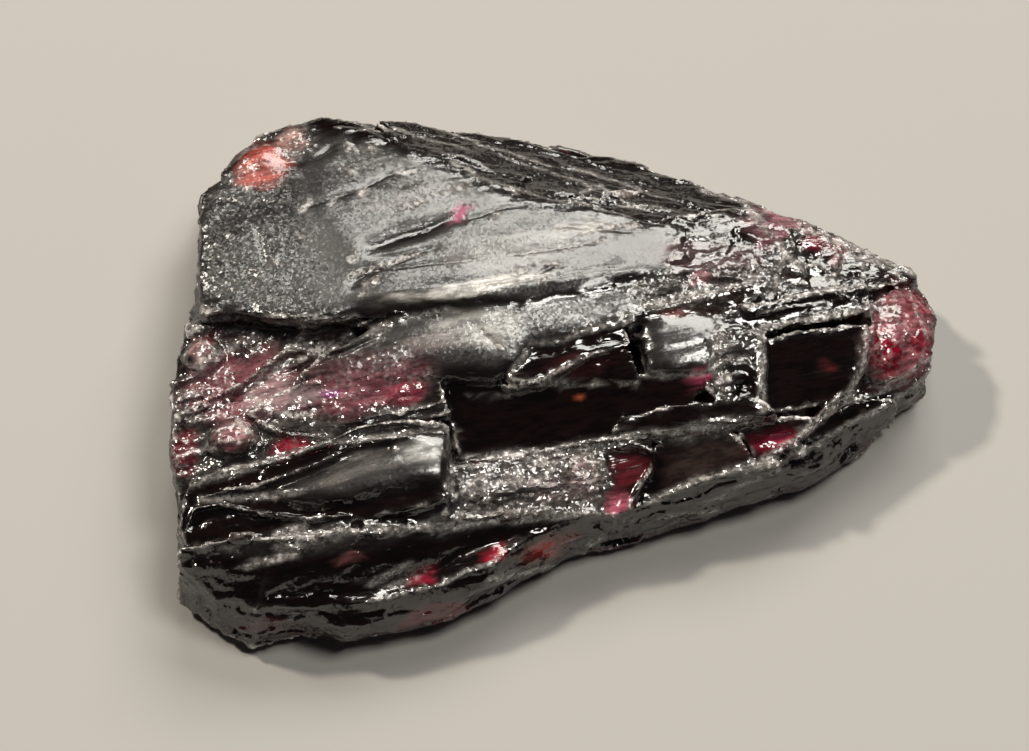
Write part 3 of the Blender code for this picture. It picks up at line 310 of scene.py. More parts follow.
# Edges and hollows that are crushed to crumbs
CRUSHED = [
    (1.0, [
        (45.0, 46.6), (57.0, 44.8), (64.6, 43.8), (61.2, 45.6), (60.4, 51.4), (51.0, 51.6),
        (44.0, 53.0), (40.0, 53.4), (44.0, 50.4),
    ]),
    (0.9, [(71.2, 33.2), (76.0, 33.0), (76.2, 36.2), (72.8, 36.8), (72.6, 40.0), (71.2, 40.0)]),
    (0.5, [(62.0, 28.0), (70.0, 26.8), (79.0, 26.0), (82.0, 28.0), (74.0, 31.0), (64.0, 31.6)]),
    (0.7, [(20.0, 55.0), (31.0, 53.0), (40.0, 52.4), (46.0, 51.6), (40.0, 54.4), (26.0, 55.4)]),
    (0.7, [(17.4, 38.0), (21.0, 38.0), (22.0, 47.0), (17.4, 48.0)]),
    (0.9, [(22.0, 19.4), (21.8, 17.6), (24.0, 17.4), (25.0, 19.6)]),
    (0.9, [(24.0, 15.4), (26.4, 13.0), (31.0, 12.2), (30.6, 15.6), (28.6, 16.0), (28.0, 14.2)]),
    (0.15, [(67.0, 23.0), (77.0, 23.6), (78.0, 27.0), (67.0, 27.0)]),
    (0.2, [(78.0, 22.4), (84.0, 24.4), (92.0, 27.0), (90.0, 28.8), (80.0, 29.6), (77.0, 27.0)]),
    (0.6, [(45.0, 47.2), (57.0, 45.0), (66.0, 43.4), (76.0, 41.6), (76.0, 42.8), (57.0, 46.2)]),
    (0.4, [(86.6, 29.2), (92.0, 28.8), (93.6, 33.0), (92.6, 38.0), (89.0, 40.0), (86.0, 37.6)]),
    (0.07, [(20.4, 20.0), (24.6, 19.6), (30.4, 24.0), (34.0, 30.6), (24.0, 30.6), (20.0, 30.0)]),
    (0.4, [
        (17.0, 31.0), (30.0, 32.0), (42.0, 35.0), (44.6, 38.0), (43.0, 42.0), (30.0, 45.0),
        (17.0, 48.0),
    ]),
]

# Faces that split so clean that they are almost flat
GLASSY = [
    (1.0, [
        (44.8, 38.6), (50.0, 37.6), (57.0, 36.0), (63.6, 37.4), (71.0, 37.2), (72.0, 40.0), (76.0, 41.0),
        (70.0, 42.6), (58.0, 43.8), (45.6, 45.0),
    ]),
    (1.0, [(76.4, 33.4), (86.8, 31.8), (85.9, 36.0), (83.0, 39.6), (79.6, 42.0), (76.4, 41.0)]),
    (0.8, [(29.5, 34.2), (31.5, 32.4), (35.5, 32.4), (36.6, 34.0), (34.0, 35.4), (30.5, 35.6)]),
    (0.8, [(26.4, 36.6), (29.5, 34.9), (32.6, 35.2), (32.0, 37.0), (28.6, 37.9)]),
    (0.9, [(64.8, 45.6), (69.6, 44.0), (75.4, 43.2), (76.2, 46.0), (70.0, 47.8), (65.4, 49.6)]),
    (0.45, [
        (20.0, 56.4), (32.0, 54.6), (45.0, 53.8), (58.6, 51.6), (60.2, 53.4), (52.0, 57.6), (44.0, 60.4),
        (33.0, 61.8), (24.0, 61.0), (19.0, 59.4),
    ]),
    (0.7, [(46.2, 49.2), (44.6, 52.2), (36.0, 52.6), (35.0, 50.6)]),
    (1.0, [(60.6, 45.8), (64.6, 45.0), (65.0, 47.4), (62.8, 51.4), (60.2, 51.4), (61.2, 48.6)]),
    (1.0, [
        (67.3, 31.2), (70.0, 30.0), (73.6, 28.4), (76.2, 28.5), (76.0, 29.9), (72.1, 30.9), (69.1, 31.8),
    ]),
    (1.0, [(80.2, 22.8), (83.4, 23.8), (82.8, 26.0), (80.4, 25.6)]),
    (1.0, [(71.6, 22.4), (74.0, 21.2), (77.4, 21.4), (78.0, 23.6), (73.0, 24.0)]),
    (1.0, [(84.8, 25.4), (88.0, 26.4), (87.6, 28.2), (84.4, 28.0)]),
    (1.0, [(88.6, 27.0), (91.4, 28.4), (90.6, 29.4), (88.2, 28.8)]),
    (1.0, [(78.6, 26.4), (82.4, 27.0), (82.0, 29.0), (78.6, 28.6)]),
    (0.7, [(65.0, 50.2), (72.0, 48.4), (77.4, 46.4), (76.0, 49.2), (67.0, 52.0)]),
]

# The back shoulder is finely striated
STRIATED = [
    (1.0, [
        (36.0, 11.0), (46.0, 12.6), (60.0, 15.8), (75.0, 19.0), (74.0, 21.0), (66.0, 22.6), (50.0, 20.0),
        (42.0, 16.4),
    ]),
]

# The right end is a mosaic of small tilted breaks
MOSAIC = [
    (1.0, [
        (66.6, 21.4), (77.0, 20.4), (84.0, 22.4), (92.4, 27.0), (91.0, 29.6), (80.0, 30.6), (66.6, 31.6),
    ]),
]

# Split faces that are dull
DULL = [
    (0.65, [(16.0, 17.0), (25.0, 16.0), (31.0, 19.0), (36.0, 34.0), (24.0, 34.0), (16.0, 34.0)]),
    (0.3, [
        (64.6, 19.0), (77.0, 18.4), (86.0, 20.4), (96.4, 27.0), (91.0, 30.6), (80.0, 31.6), (64.6, 30.0),
    ]),
    (0.6, [
        (36.0, 11.0), (46.0, 12.6), (60.0, 15.8), (75.0, 19.0), (66.0, 22.6), (50.0, 20.0),
        (42.0, 16.4),
    ]),
]

# Scratches, furrows and low swells: depth, half width, start, end on the picture, in millimetres
FURROWS = [
    (0.60, 0.80, (73.6, 38.8), (75.4, 38.2)),
    (0.40, 0.60, (72.8, 36.2), (75.2, 35.4)),
    (0.22, 0.16, (30.2, 20.8), (35.8, 19.0)),
    (0.20, 0.16, (35.8, 18.9), (40.6, 16.9)),
    (0.50, 0.85, (36.0, 24.9), (46.4, 21.5)),
    (0.16, 0.18, (45.4, 22.2), (53.0, 20.2)),
    (0.30, 0.50, (34.6, 28.6), (37.6, 26.6)),
    (0.18, 0.18, (34.8, 28.0), (41.8, 25.3)),
    (0.15, 0.16, (36.4, 26.9), (48.0, 26.0)),
    (0.16, 0.18, (37.0, 25.9), (44.0, 24.9)),
    (0.18, 0.16, (53.4, 27.6), (55.6, 26.2)),
    (0.14, 0.16, (48.0, 29.0), (63.0, 26.2)),
    (0.14, 0.16, (50.0, 25.6), (60.0, 24.2)),
    (0.15, 0.18, (25.4, 22.4), (26.6, 26.6)),
    (0.18, 0.20, (31.4, 16.0), (33.4, 14.6)),
    (0.18, 0.20, (56.0, 22.6), (64.0, 23.0)),
    (0.22, 0.24, (47.0, 32.2), (50.2, 35.0)),
    (0.30, 0.25, (27.6, 37.8), (38.0, 33.6)),
    (0.30, 0.25, (22.0, 40.6), (33.0, 37.4)),
    (-0.20, 0.70, (36.0, 29.6), (64.0, 26.8)),
    (-0.15, 0.90, (44.0, 24.6), (60.0, 22.6)),
]

# Bright marks where the surface is scratched or knocked, and painted highlights on two small shiny bumps
# and on a slash across the lower broad face: strength, how much wider than a hairline, start and end on
# the picture, in millimetres
MARKS_AND_PAINTED_GLINTS = [
    (1.0, 0.40, (45.6, 49.6), (47.6, 48.2)),
    (1.0, 0.50, (53.6, 48.4), (55.2, 46.8)),
    (1.0, 0.30, (59.4, 44.8), (61.0, 44.0)),
    (0.9, 0.20, (49.4, 51.4), (50.4, 50.6)),
    # Painted highlights on the two small shiny bumps
    (1.0, 0.30, (20.1, 35.3), (20.4, 36.2)),
    (1.0, 0.25, (23.6, 41.9), (24.9, 43.2)),
    (1.0, 0.10, (35.0, 27.6), (41.8, 25.3)),
    (0.8, 0.10, (36.4, 28.4), (39.2, 27.2)),
    (1.0, 0.15, (58.2, 23.4), (60.6, 22.7)),
    (1.0, 0.15, (60.6, 22.7), (63.6, 22.6)),
    (0.8, 0.10, (59.0, 24.4), (61.4, 23.8)),
    (0.9, 0.10, (48.0, 22.8), (49.6, 21.3)),
    (0.8, 0.05, (51.6, 27.6), (53.0, 26.5)),
    (0.8, 0.05, (53.0, 26.5), (55.6, 26.3)),
    (0.8, 0.05, (55.6, 26.3), (56.2, 27.2)),
    (0.8, 0.05, (56.2, 27.2), (54.0, 28.2)),
    (1.0, 0.10, (30.2, 21.0), (31.0, 20.3)),
    (1.0, 0.05, (33.2, 20.2), (33.6, 20.0)),
    (1.0, 0.10, (35.8, 19.3), (36.4, 18.8)),
    (1.0, 0.10, (39.8, 17.3), (41.6, 17.1)),
    (0.9, 0.10, (33.8, 16.9), (35.6, 16.9)),
    (0.9, 0.10, (35.0, 14.4), (36.0, 15.2)),
    (0.9, 0.10, (37.0, 14.6), (38.0, 15.4)),
    (0.9, 0.05, (27.7, 25.2), (27.8, 26.4)),
    (0.9, 0.10, (45.4, 16.2), (46.0, 16.5)),
    (0.9, 0.15, (46.8, 16.8), (47.4, 17.4)),
    (0.9, 0.15, (51.0, 18.8), (51.6, 19.2)),
    (0.6, 0.10, (29.6, 23.2), (31.6, 24.6)),
    (0.6, 0.30, (40.0, 20.8), (46.8, 18.4)),
    (0.8, 0.10, (35.0, 26.0), (36.0, 25.2)),
    # Painted highlight on the slash across the lower broad face
    (0.7, 0.15, (47.2, 32.2), (50.2, 34.8)),
]

# Whitish lines where the edges of the steps are chipped, given in the same way
CHIPPED_LINES = [
    (0.8, 0.15, (84.4, 22.6), (84.8, 25.6)),
    (0.8, 0.15, (84.8, 25.6), (82.6, 28.4)),
    (0.7, 0.15, (84.8, 25.6), (88.4, 26.4)),
    (0.7, 0.15, (88.4, 26.4), (91.6, 28.8)),
    (0.7, 0.10, (86.8, 24.0), (86.2, 28.6)),
    (0.7, 0.10, (78.6, 24.6), (77.6, 28.4)),
    (0.6, 0.10, (72.2, 22.4), (77.8, 21.0)),
    (0.6, 0.05, (66.4, 24.0), (66.6, 27.6)),
    (0.8, 0.10, (78.6, 29.8), (86.4, 28.4)),
    (0.6, -0.12, (38.0, 12.6), (47.0, 15.0)),
    (0.6, -0.12, (43.0, 12.8), (55.0, 16.6)),
    (0.5, -0.12, (50.0, 15.6), (62.0, 19.6)),
    (0.6, -0.12, (57.0, 16.8), (68.0, 20.2)),
    (0.5, -0.12, (47.0, 17.6), (58.0, 20.6)),
    (0.7, 0.10, (58.0, 19.2), (60.0, 18.6)),
    (0.7, 0.10, (62.0, 20.6), (66.0, 20.8)),
    (0.7, 0.20, (70.0, 19.0), (75.0, 20.4)),
    (0.6, 0.05, (56.0, 38.4), (64.0, 38.2)),
    (0.5, 0.05, (47.0, 39.8), (53.0, 39.2)),
    (0.8, 0.10, (87.4, 39.4), (93.2, 35.8)),
    (0.7, 0.05, (90.8, 29.4), (92.6, 33.6)),
    (0.7, 0.10, (84.2, 40.4), (89.0, 39.0)),
    (0.7, 0.10, (80.0, 45.4), (92.0, 38.6)),
    (0.6, 0.10, (70.0, 50.6), (78.0, 47.0)),
    (0.6, 0.10, (66.0, 51.8), (72.0, 51.2)),
    (1.0, 0.45, (24.8, 39.4), (27.2, 41.2)),
    (1.0, 0.40, (27.2, 41.2), (31.6, 41.5)),
    (0.9, 0.40, (24.4, 39.2), (29.0, 36.2)),
    (0.9, 0.45, (29.0, 36.2), (38.0, 32.6)),
    (0.8, 0.45, (38.0, 32.6), (45.0, 31.0)),
    (1.0, 0.45, (86.9, 30.4), (86.5, 36.2)),
    (1.0, 0.45, (86.5, 36.2), (84.6, 39.8)),
    (1.0, 0.50, (84.6, 39.8), (79.6, 43.8)),
    (0.9, 0.45, (79.6, 43.8), (74.6, 47.2)),
    (0.9, 0.40, (76.3, 32.8), (76.3, 41.0)),
    (0.8, 0.45, (76.3, 32.8), (86.8, 30.8)),
    (0.9, 0.45, (64.6, 50.2), (70.0, 48.0)),
    (0.9, 0.45, (70.0, 48.0), (77.6, 46.0)),
    (0.9, 0.55, (45.4, 46.2), (57.0, 44.8)),
    (0.9, 0.55, (57.0, 44.8), (66.0, 43.4)),
    (0.9, 0.50, (66.0, 43.4), (74.6, 42.2)),
    (0.8, 0.50, (29.6, 53.6), (45.0, 52.6)),
    (0.8, 0.50, (45.0, 52.6), (60.0, 51.2)),
    (0.8, 0.40, (45.2, 43.6), (45.2, 49.0)),
    (0.7, 0.40, (19.0, 48.4), (33.0, 44.2)),
    (0.7, 0.40, (33.0, 44.2), (45.0, 42.6)),
    (0.7, 0.40, (20.0, 50.0), (30.0, 49.4)),
    (0.7, 0.40, (50.6, 38.4), (53.0, 34.4)),
    (0.7, 0.40, (53.0, 34.4), (63.4, 32.2)),
    (0.7, 0.40, (50.6, 38.6), (57.0, 38.2)),
    (0.7, 0.40, (64.4, 37.4), (71.2, 37.2)),
    (0.8, 0.40, (63.2, 32.4), (64.2, 37.4)),
    (0.8, 0.40, (71.8, 32.4), (71.0, 37.2)),
    (0.8, 0.50, (61.0, 31.4), (76.0, 27.8)),
    (0.8, 0.50, (80.0, 22.6), (91.6, 27.2)),
    (0.7, 0.50, (74.4, 20.2), (80.4, 27.4)),
    (0.7, 0.45, (57.0, 56.0), (60.2, 53.6)),
    (0.8, 0.45, (56.0, 56.6), (49.0, 58.0)),
    (0.6, 0.45, (38.0, 59.4), (42.4, 57.0)),
    (0.8, 0.60, (27.6, 53.8), (30.4, 52.4)),
    (0.8, 0.40, (29.0, 35.2), (30.6, 32.2)),
    (0.8, 0.40, (30.6, 32.2), (35.4, 31.6)),
    (0.8, 0.40, (35.4, 31.6), (37.2, 33.8)),
    (0.8, 0.40, (26.0, 37.4), (29.0, 34.6)),
    (0.8, 0.40, (29.0, 34.6), (33.0, 34.8)),
    (0.7, 0.40, (19.0, 36.6), (25.0, 34.0)),
    (0.8, 0.60, (24.6, 56.6), (29.6, 55.4)),
    (0.7, 0.45, (37.0, 58.6), (41.0, 56.2)),
]


def furrows(picture):
    """How deep the furrows go at each point, in millimetres. They thin out at their ends."""
    depth = np.zeros(len(picture))
    for deepest, half_width, start, end in FURROWS:
        along = np.array(end) - np.array(start)
        share = np.clip((picture - np.array(start)) @ along / (along @ along), 0.0, 1.0)
        part = np.exp(-(from_line(picture, start, end) / half_width) ** 2)
        depth += deepest * part * (1.0 - (2.0 * share - 1.0) ** 2) ** 0.5
    return depth


# A hairline is bright out to the first distance and gone at the second, both in millimetres from
# its middle. A wider line is gone further out, by this share of what it is wider
HAIRLINE_CORE = 0.05
HAIRLINE_EDGE = 0.30
WIDER_SHARE = 0.8


def chipped(picture, lines):
    """How strongly each point is on a chipped line, from 0 to 1."""
    best = np.zeros(len(picture))
    for strength, wider, start, end in lines:
        gap = from_line(picture, start, end)
        gone_at = HAIRLINE_EDGE + WIDER_SHARE * wider
        best = np.maximum(best, strength * (1.0 - ramp(gap, HAIRLINE_CORE, gone_at)))
    return best


# Sizes of the relief and of the patches, in millimetres along the grain, across it and up
SWELL_SIZE = (13.0, 5.0, 5.0)
SILK_SIZE = (5.0, 2.4, 2.4)
FIBRE_SIZE = (7.0, 0.8, 0.7)
SPLINT_SIZE = (7.5, 2.3, 2.0)
CHIP_SIZE = (2.6, 1.1, 1.0)
CRUMB_SIZE = (1.2, 0.9, 0.9)
BLOCK_SIZE = (3.6, 2.2, 2.2)
STRIA_SIZE = (4.0, 0.7, 0.6)
CRUSHED_BIT_SIZE = (3.6, 1.8, 1.8)
HIDDEN_CRUSH_SIZE = (7.0, 3.0, 3.0)
HIDDEN_ROSE_SIZE = (9.0, 4.0, 4.0)
DULL_CLOUD_SIZE = (5.0, 2.6, 2.6)
EDGE_BIT_SIZE = (3.0, 1.6, 1.6)
STRAY_SIZE = (3.0, 1.4, 1.4)

# How far each kind of relief stands out, in millimetres, and what the steep sides have more of
SWELL_HEIGHT = 0.10
SILK_HEIGHT = 0.10
FIBRE_HEIGHT = 0.045
SPLINT_HEIGHT = 0.16
CHIP_HEIGHT = 0.05
CRUMB_HEIGHT = 0.26
BLOCK_HEIGHT = 0.40
STRIA_HEIGHT = 0.15
SIDE_FIBRE_HEIGHT = 0.06
SIDE_SPLINT_HEIGHT = 0.12
SIDE_CHIP_HEIGHT = 0.08

# The share of the relief, the crumbs and the dullness that a glassy face is without
GLASSY_SHARE = 0.85


def broken_up(grain):
    """1 where crushed ground stays crushed, less where smooth bits are left in it."""
    return 0.30 + 0.70 * ramp(layered(grain / CRUSHED_BIT_SIZE, 61), -0.25, 0.20)


def in_view(normals):
    """1 where the surface faces the picture, 0 where it is hidden from it."""
    return ramp(normals @ np.array(sight), 0.0, 0.3)


def hidden_crush(grain, facing):
    """How crushed the sides are that the picture doesn't show."""
    return 0.8 * (1.0 - facing) * ramp(layered(grain / HIDDEN_CRUSH_SIZE, 71), 0.05, 0.40)


def steep(normals):
    """1 where the surface is steep, 0 where it lies nearly flat."""
    return 1.0 - ramp(np.abs(normals[:, 2]), 0.4, 0.8)


def relief(points, normals, picture, edge):
    """How far the surface stands out at each point, in millimetres."""
    grain = with_grain(points)
    facing = in_view(normals)
    side = steep(normals)
    stray = np.stack([layered(grain / 2.5, 31, 2), layered(grain / 2.5, 32, 2)], axis=1)
    satin = zone(picture + 0.5 * stray, SATIN_FACES, 1.6) * facing
    glassy = zone(picture + 0.4 * stray, GLASSY, 1.2) * facing
    striated = zone(picture + 0.5 * stray, STRIATED, 1.6) * facing
    mosaic = zone(picture + 0.5 * stray, MOSAIC, 2.0) * facing
    crushed = zone(picture + 0.8 * stray, CRUSHED, 1.6) * broken_up(grain) * facing
    crushed = np.maximum(crushed * (1.0 - GLASSY_SHARE * glassy), hidden_crush(grain, facing))
    bent = grain + 0.5 * np.stack([stray[:, 0], stray[:, 1], stray[:, 0]], axis=1)
    fibres = layered(grain / FIBRE_SIZE, 3)
    swell = layered(grain / SWELL_SIZE, 5, 2)
    silk = layered(grain / SILK_SIZE, 9, 2)
    splints = facets(bent / SPLINT_SIZE, 7)
    chips = facets(bent / CHIP_SIZE, 57)
    crumbs = facets(bent / CRUMB_SIZE, 11)
    plain = (1.0 - satin) * (1.0 - GLASSY_SHARE * glassy)
    height = SWELL_HEIGHT * swell + SILK_HEIGHT * silk * satin
    height += plain * (FIBRE_HEIGHT * fibres + SPLINT_HEIGHT * splints + CHIP_HEIGHT * chips)
    height += mosaic * BLOCK_HEIGHT * facets(bent / BLOCK_SIZE, 97)
    height += striated * STRIA_HEIGHT * layered(grain / STRIA_SIZE, 13)
    side_relief = SIDE_FIBRE_HEIGHT * fibres + SIDE_SPLINT_HEIGHT * splints + SIDE_CHIP_HEIGHT * chips
    height += plain * side * side_relief
    height += np.maximum(crushed, 0.5 * edge) * CRUMB_HEIGHT * crumbs
    return height - furrows(picture + 0.2 * stray) * facing


def neighbour_mean(values, edges):
    """The mean of each point's neighbours."""
    count = np.bincount(edges.ravel(), minlength=len(values))
    total = np.empty_like(values)
    for k in range(values.shape[1]):
        total[:, k] = np.bincount(edges[:, 0], values[edges[:, 1], k], len(values))
        total[:, k] += np.bincount(edges[:, 1], values[edges[:, 0], k], len(values))
    return total / count[:, None]


def without_spikes(points, edges, rounds, most):
    """The points, with each that stands out from its neighbours by more than most drawn in."""
    for _ in range(rounds):
        middle = neighbour_mean(points, edges)
        gap = np.linalg.norm(points - middle, axis=1)
        points = np.where((gap > most)[:, None], middle, points)
    return points


def point_pairs(mesh):
    """The two points of each edge."""
    edges = np.empty(len(mesh.edges) * 2, dtype=np.int64)
    mesh.edges.foreach_get("vertices", edges)
    return edges.reshape(-1, 2)


# Rounds of smoothing for the satin faces and for finding the edges, and rounds against spikes
SATIN_ROUNDS = 100
EDGE_ROUNDS = 8
SPIKE_ROUNDS = 16
LAST_SPIKE_ROUNDS = 3

# In metres: how far a point may stand out from its neighbours before and after the relief, and the
# height up to which the side stays as plain as the underside
MOST_SPIKE = 0.00009
LAST_MOST_SPIKE = 0.00014
UNDERSIDE = 0.0004

# Faces that meet at more than this angle are shaded with a sharp edge
SHARP_EDGE = math.radians(42.0)

# The crystal's mesh starts as the CAD solid in small even faces
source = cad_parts["painite_crystal"].data.copy()
rough_mesh = mesh_of("rough", source, even_grain)
points, normals = places(rough_mesh)
edges = point_pairs(rough_mesh)

# The satin faces are smoothed, and the ground right beside them
level = zone(on_picture(points), SATIN_FACES, 1.6) * ramp(normals @ np.array(sight), 0.3, 0.7)
beside = level[:, None]
for _ in range(EDGE_ROUNDS):
    beside = neighbour_mean(beside, edges)
level = np.maximum(level, np.clip(2.0 * beside[:, 0], 0.0, 1.0))
for _ in range(SATIN_ROUNDS):
    points += 0.9 * level[:, None] * (neighbour_mean(points, edges) - points)
points = without_spikes(points, edges, SPIKE_ROUNDS, MOST_SPIKE)

# An edge is where the surface stands out from its own rounded shape, with gaps left in it
rounded = points
for _ in range(EDGE_ROUNDS):
    rounded = neighbour_mean(rounded, edges)
edge = ramp(1000.0 * np.einsum("ij,ij->i", points - rounded, normals), 0.03, 0.11)
grain = with_grain(points)
edge *= ramp(layered(grain / EDGE_BIT_SIZE, 41), -0.35, 0.15)

# The relief is worked in, and the faces are thinned out
above = ramp(points[:, 2], UNDERSIDE, 3.0 * UNDERSIDE)
height = relief(points, normals, on_picture(points), edge) * above
points = points + normals * height[:, None] * 0.001
points = without_spikes(points, edges, LAST_SPIKE_ROUNDS, LAST_MOST_SPIKE)
layer = rough_mesh.attributes.new("edge", "FLOAT", "POINT")
layer.data.foreach_set("value", edge.astype(np.float32))
rough_mesh.vertices.foreach_set("co", points.ravel())
rough_mesh.update()
faces = sum(len(face.vertices) - 2 for face in rough_mesh.polygons)
kept_share = min(1.0, MOST_FACES / faces)
mesh = mesh_of("painite_surface", rough_mesh, fewer_faces)
mesh.name = "painite_surface"
for face in mesh.polygons:
    face.use_smooth = True
mesh.set_sharp_from_angle(angle=SHARP_EDGE)
crystal = bpy.data.objects.new("painite_surface", mesh)
bpy.context.scene.collection.objects.link(crystal)

# Breaks inside, and painted highlights and sheen where the broad faces, the small bumps and the front
# roll catch the light: colour, strength, middle on the picture, half length and half width in
# millimetres, and turn in degrees
BREAKS_AND_PAINTED_SHEEN = [
    # Painted highlight along the front roll of the broad split face
    ("#E8E4DC", 0.95, (47.5, 28.7), 13.0, 0.90, 9.9),
    ("#D8D0CE", 0.60, (48.0, 48.2), 3.2, 1.5, 10.0),
    ("#B89CA0", 0.50, (56.0, 48.6), 5.0, 2.2, 8.0),
    # Painted sheen on the broad split face
    ("#C8C5BD", 0.52, (51.0, 25.3), 10.0, 2.8, 9.0),
    ("#D8D4CC", 0.62, (58.0, 22.9), 5.0, 1.6, 8.0),
    ("#B8B5AE", 0.42, (40.5, 19.8), 6.5, 1.5, 16.0),
    ("#9C9992", 0.30, (36.5, 16.4), 4.0, 1.4, 10.0),
    # Painted highlight on the lower broad face
    ("#D8D6D0", 0.80, (47.6, 32.6), 6.8, 2.5, 8.0),
    ("#B84E42", 0.95, (26.2, 16.7), 3.9, 3.0, 20.0),
    ("#B88A80", 0.90, (29.2, 14.0), 2.0, 1.6, 20.0),
    ("#B4567A", 0.95, (46.0, 21.0), 1.7, 1.4, 50.0),
    ("#A45C68", 0.75, (24.0, 38.5), 8.5, 5.5, 15.0),
    ("#B86676", 0.72, (36.0, 38.6), 9.5, 4.0, 12.0),
    ("#C8A4A8", 0.80, (27.0, 39.6), 3.6, 1.9, 20.0),
    # Painted pinkish highlights on the two small shiny bumps
    ("#D8B0B0", 0.80, (23.6, 43.2), 2.4, 1.0, -30.0),
    ("#D8B0B0", 0.70, (19.6, 37.0), 1.2, 1.6, 0.0),
    ("#6A1428", 0.80, (21.6, 33.6), 1.2, 0.9, 0.0),
    ("#2A1A16", 0.92, (32.6, 34.0), 3.6, 1.5, 8.0),
    ("#2E1C1A", 0.90, (29.2, 36.4), 2.9, 1.2, 12.0),
    ("#34201E", 0.85, (24.4, 35.2), 1.9, 1.9, 0.0),
    ("#A08C8E", 0.85, (30.6, 39.6), 2.8, 1.5, 10.0),
    # Painted white highlights on the same two small bumps
    ("#F4E8E0", 0.95, (20.3, 35.8), 0.8, 1.0, 0.0),
    ("#F4EAE0", 0.95, (24.3, 42.6), 1.4, 0.6, -45.0),
    # Painted sheen on the top of the lower left block, brightest at its right end
    ("#DCDCD8", 0.80, (42.2, 45.2), 3.2, 1.9, 10.0),
    ("#9C9C98", 0.45, (36.0, 47.0), 6.5, 1.9, 14.0),
    ("#A99A9A", 0.60, (42.0, 34.6), 6.0, 2.0, 20.0),
    ("#8A6A6E", 0.60, (70.5, 25.6), 8.5, 2.4, -8.0),
    ("#C08088", 0.80, (70.0, 28.0), 1.8, 1.2, 0.0),
    ("#8C3A34", 0.70, (67.4, 31.0), 2.2, 0.7, 10.0),
    ("#B07A80", 0.75, (78.8, 21.8), 5.0, 1.2, -22.0),
    ("#B07A80", 0.75, (83.8, 25.0), 1.4, 2.4, 0.0),
    ("#B56A78", 0.75, (77.4, 22.8), 4.0, 1.6, 60.0),
    ("#B0284A", 0.65, (40.5, 39.3), 3.4, 1.7, 10.0),
    ("#A8309A", 0.70, (33.2, 39.2), 1.0, 0.7, 0.0),
    ("#B31E3C", 0.85, (29.0, 44.6), 3.0, 1.1, 15.0),
    ("#8E2038", 0.70, (18.6, 45.5), 2.0, 3.4, 0.0),
    ("#D98A8C", 0.65, (20.2, 34.8), 1.7, 1.7, 0.0),
    ("#C9707A", 0.60, (23.4, 43.6), 3.0, 2.2, 10.0),
    ("#6A2430", 0.45, (58.0, 36.6), 4.6, 1.6, 12.0),
    ("#B04466", 0.85, (70.0, 37.6), 1.6, 1.6, 0.0),
    ("#8A2C34", 0.55, (83.2, 36.9), 0.6, 0.5, 0.0),
    ("#6C1C28", 0.85, (62.9, 46.9), 3.2, 2.2, 50.0),
    ("#CC6C80", 0.90, (61.6, 50.4), 2.2, 1.6, 30.0),
    ("#C09CA0", 0.70, (58.4, 47.6), 1.8, 2.6, 0.0),
    # Painted sheen on the dark facet at the right
    ("#6C645E", 0.40, (70.6, 46.2), 6.5, 2.8, 15.0),
    ("#2A221E", 0.90, (71.6, 30.2), 4.8, 1.5, 20.0),
    ("#2C2422", 0.90, (75.0, 22.6), 3.4, 1.4, -15.0),
    ("#4A4240", 0.60, (71.0, 25.2), 4.0, 1.4, 8.0),
    ("#5A1626", 0.90, (81.6, 24.2), 1.5, 1.7, 0.0),
    ("#26221E", 0.90, (80.4, 27.8), 2.4, 1.3, -10.0),
    ("#141616", 0.90, (86.2, 26.8), 2.2, 1.4, -20.0),
    ("#141616", 0.90, (89.8, 28.2), 1.8, 1.0, -25.0),
    ("#9A1C3C", 0.80, (77.2, 44.0), 3.8, 1.9, 20.0),
    ("#C4405E", 0.70, (77.8, 43.6), 1.8, 1.0, 20.0),
    ("#AE5E6A", 0.86, (90.0, 33.6), 4.8, 6.8, 0.0),
    ("#8A0826", 1.00, (88.6, 35.4), 2.6, 2.6, 10.0),
    ("#8A0E2A", 0.95, (91.8, 30.8), 2.2, 1.4, -30.0),
    ("#9C0C2C", 0.90, (92.0, 34.2), 1.4, 1.8, 0.0),
    ("#4A1420", 0.90, (88.0, 38.4), 2.4, 0.9, 10.0),
    ("#6E5A50", 0.80, (89.0, 31.2), 1.0, 1.0, 0.0),
    ("#8C2038", 0.60, (81.4, 24.4), 1.8, 1.4, 0.0),
    ("#B5808A", 0.40, (76.6, 22.6), 3.2, 2.6, 0.0),
    ("#A01C36", 0.85, (42.6, 57.4), 2.4, 1.3, 20.0),
    ("#B01C38", 0.85, (49.4, 55.2), 2.2, 1.1, 30.0),
    ("#8A4440", 0.80, (54.6, 54.8), 4.6, 1.7, 20.0),
    ("#C0342E", 0.70, (54.6, 54.8), 1.8, 0.9, 20.0),
    ("#7A1A2C", 0.80, (43.6, 61.6), 5.6, 1.3, 12.0),
    ("#5E1826", 0.70, (27.0, 62.8), 5.0, 1.4, -5.0),
    ("#8E5A58", 0.70, (35.0, 56.0), 2.0, 0.7, 15.0),
    ("#E0703C", 0.70, (57.6, 39.8), 0.7, 0.5, 0.0),
]

# The stone's own brown where nothing else is given, the red at the foot of its sides, the rose of
# the breaks on the sides that the picture doesn't show, and the grey of crushed ground, which is also
# the painted sheen on the satin faces
BROWN_INSIDE = "#4C302A"
FOOT_RED = "#701A28"
HIDDEN_ROSE = "#9A3448"
CRUSHED_AND_SHEEN_GREY = "#A49E9A"

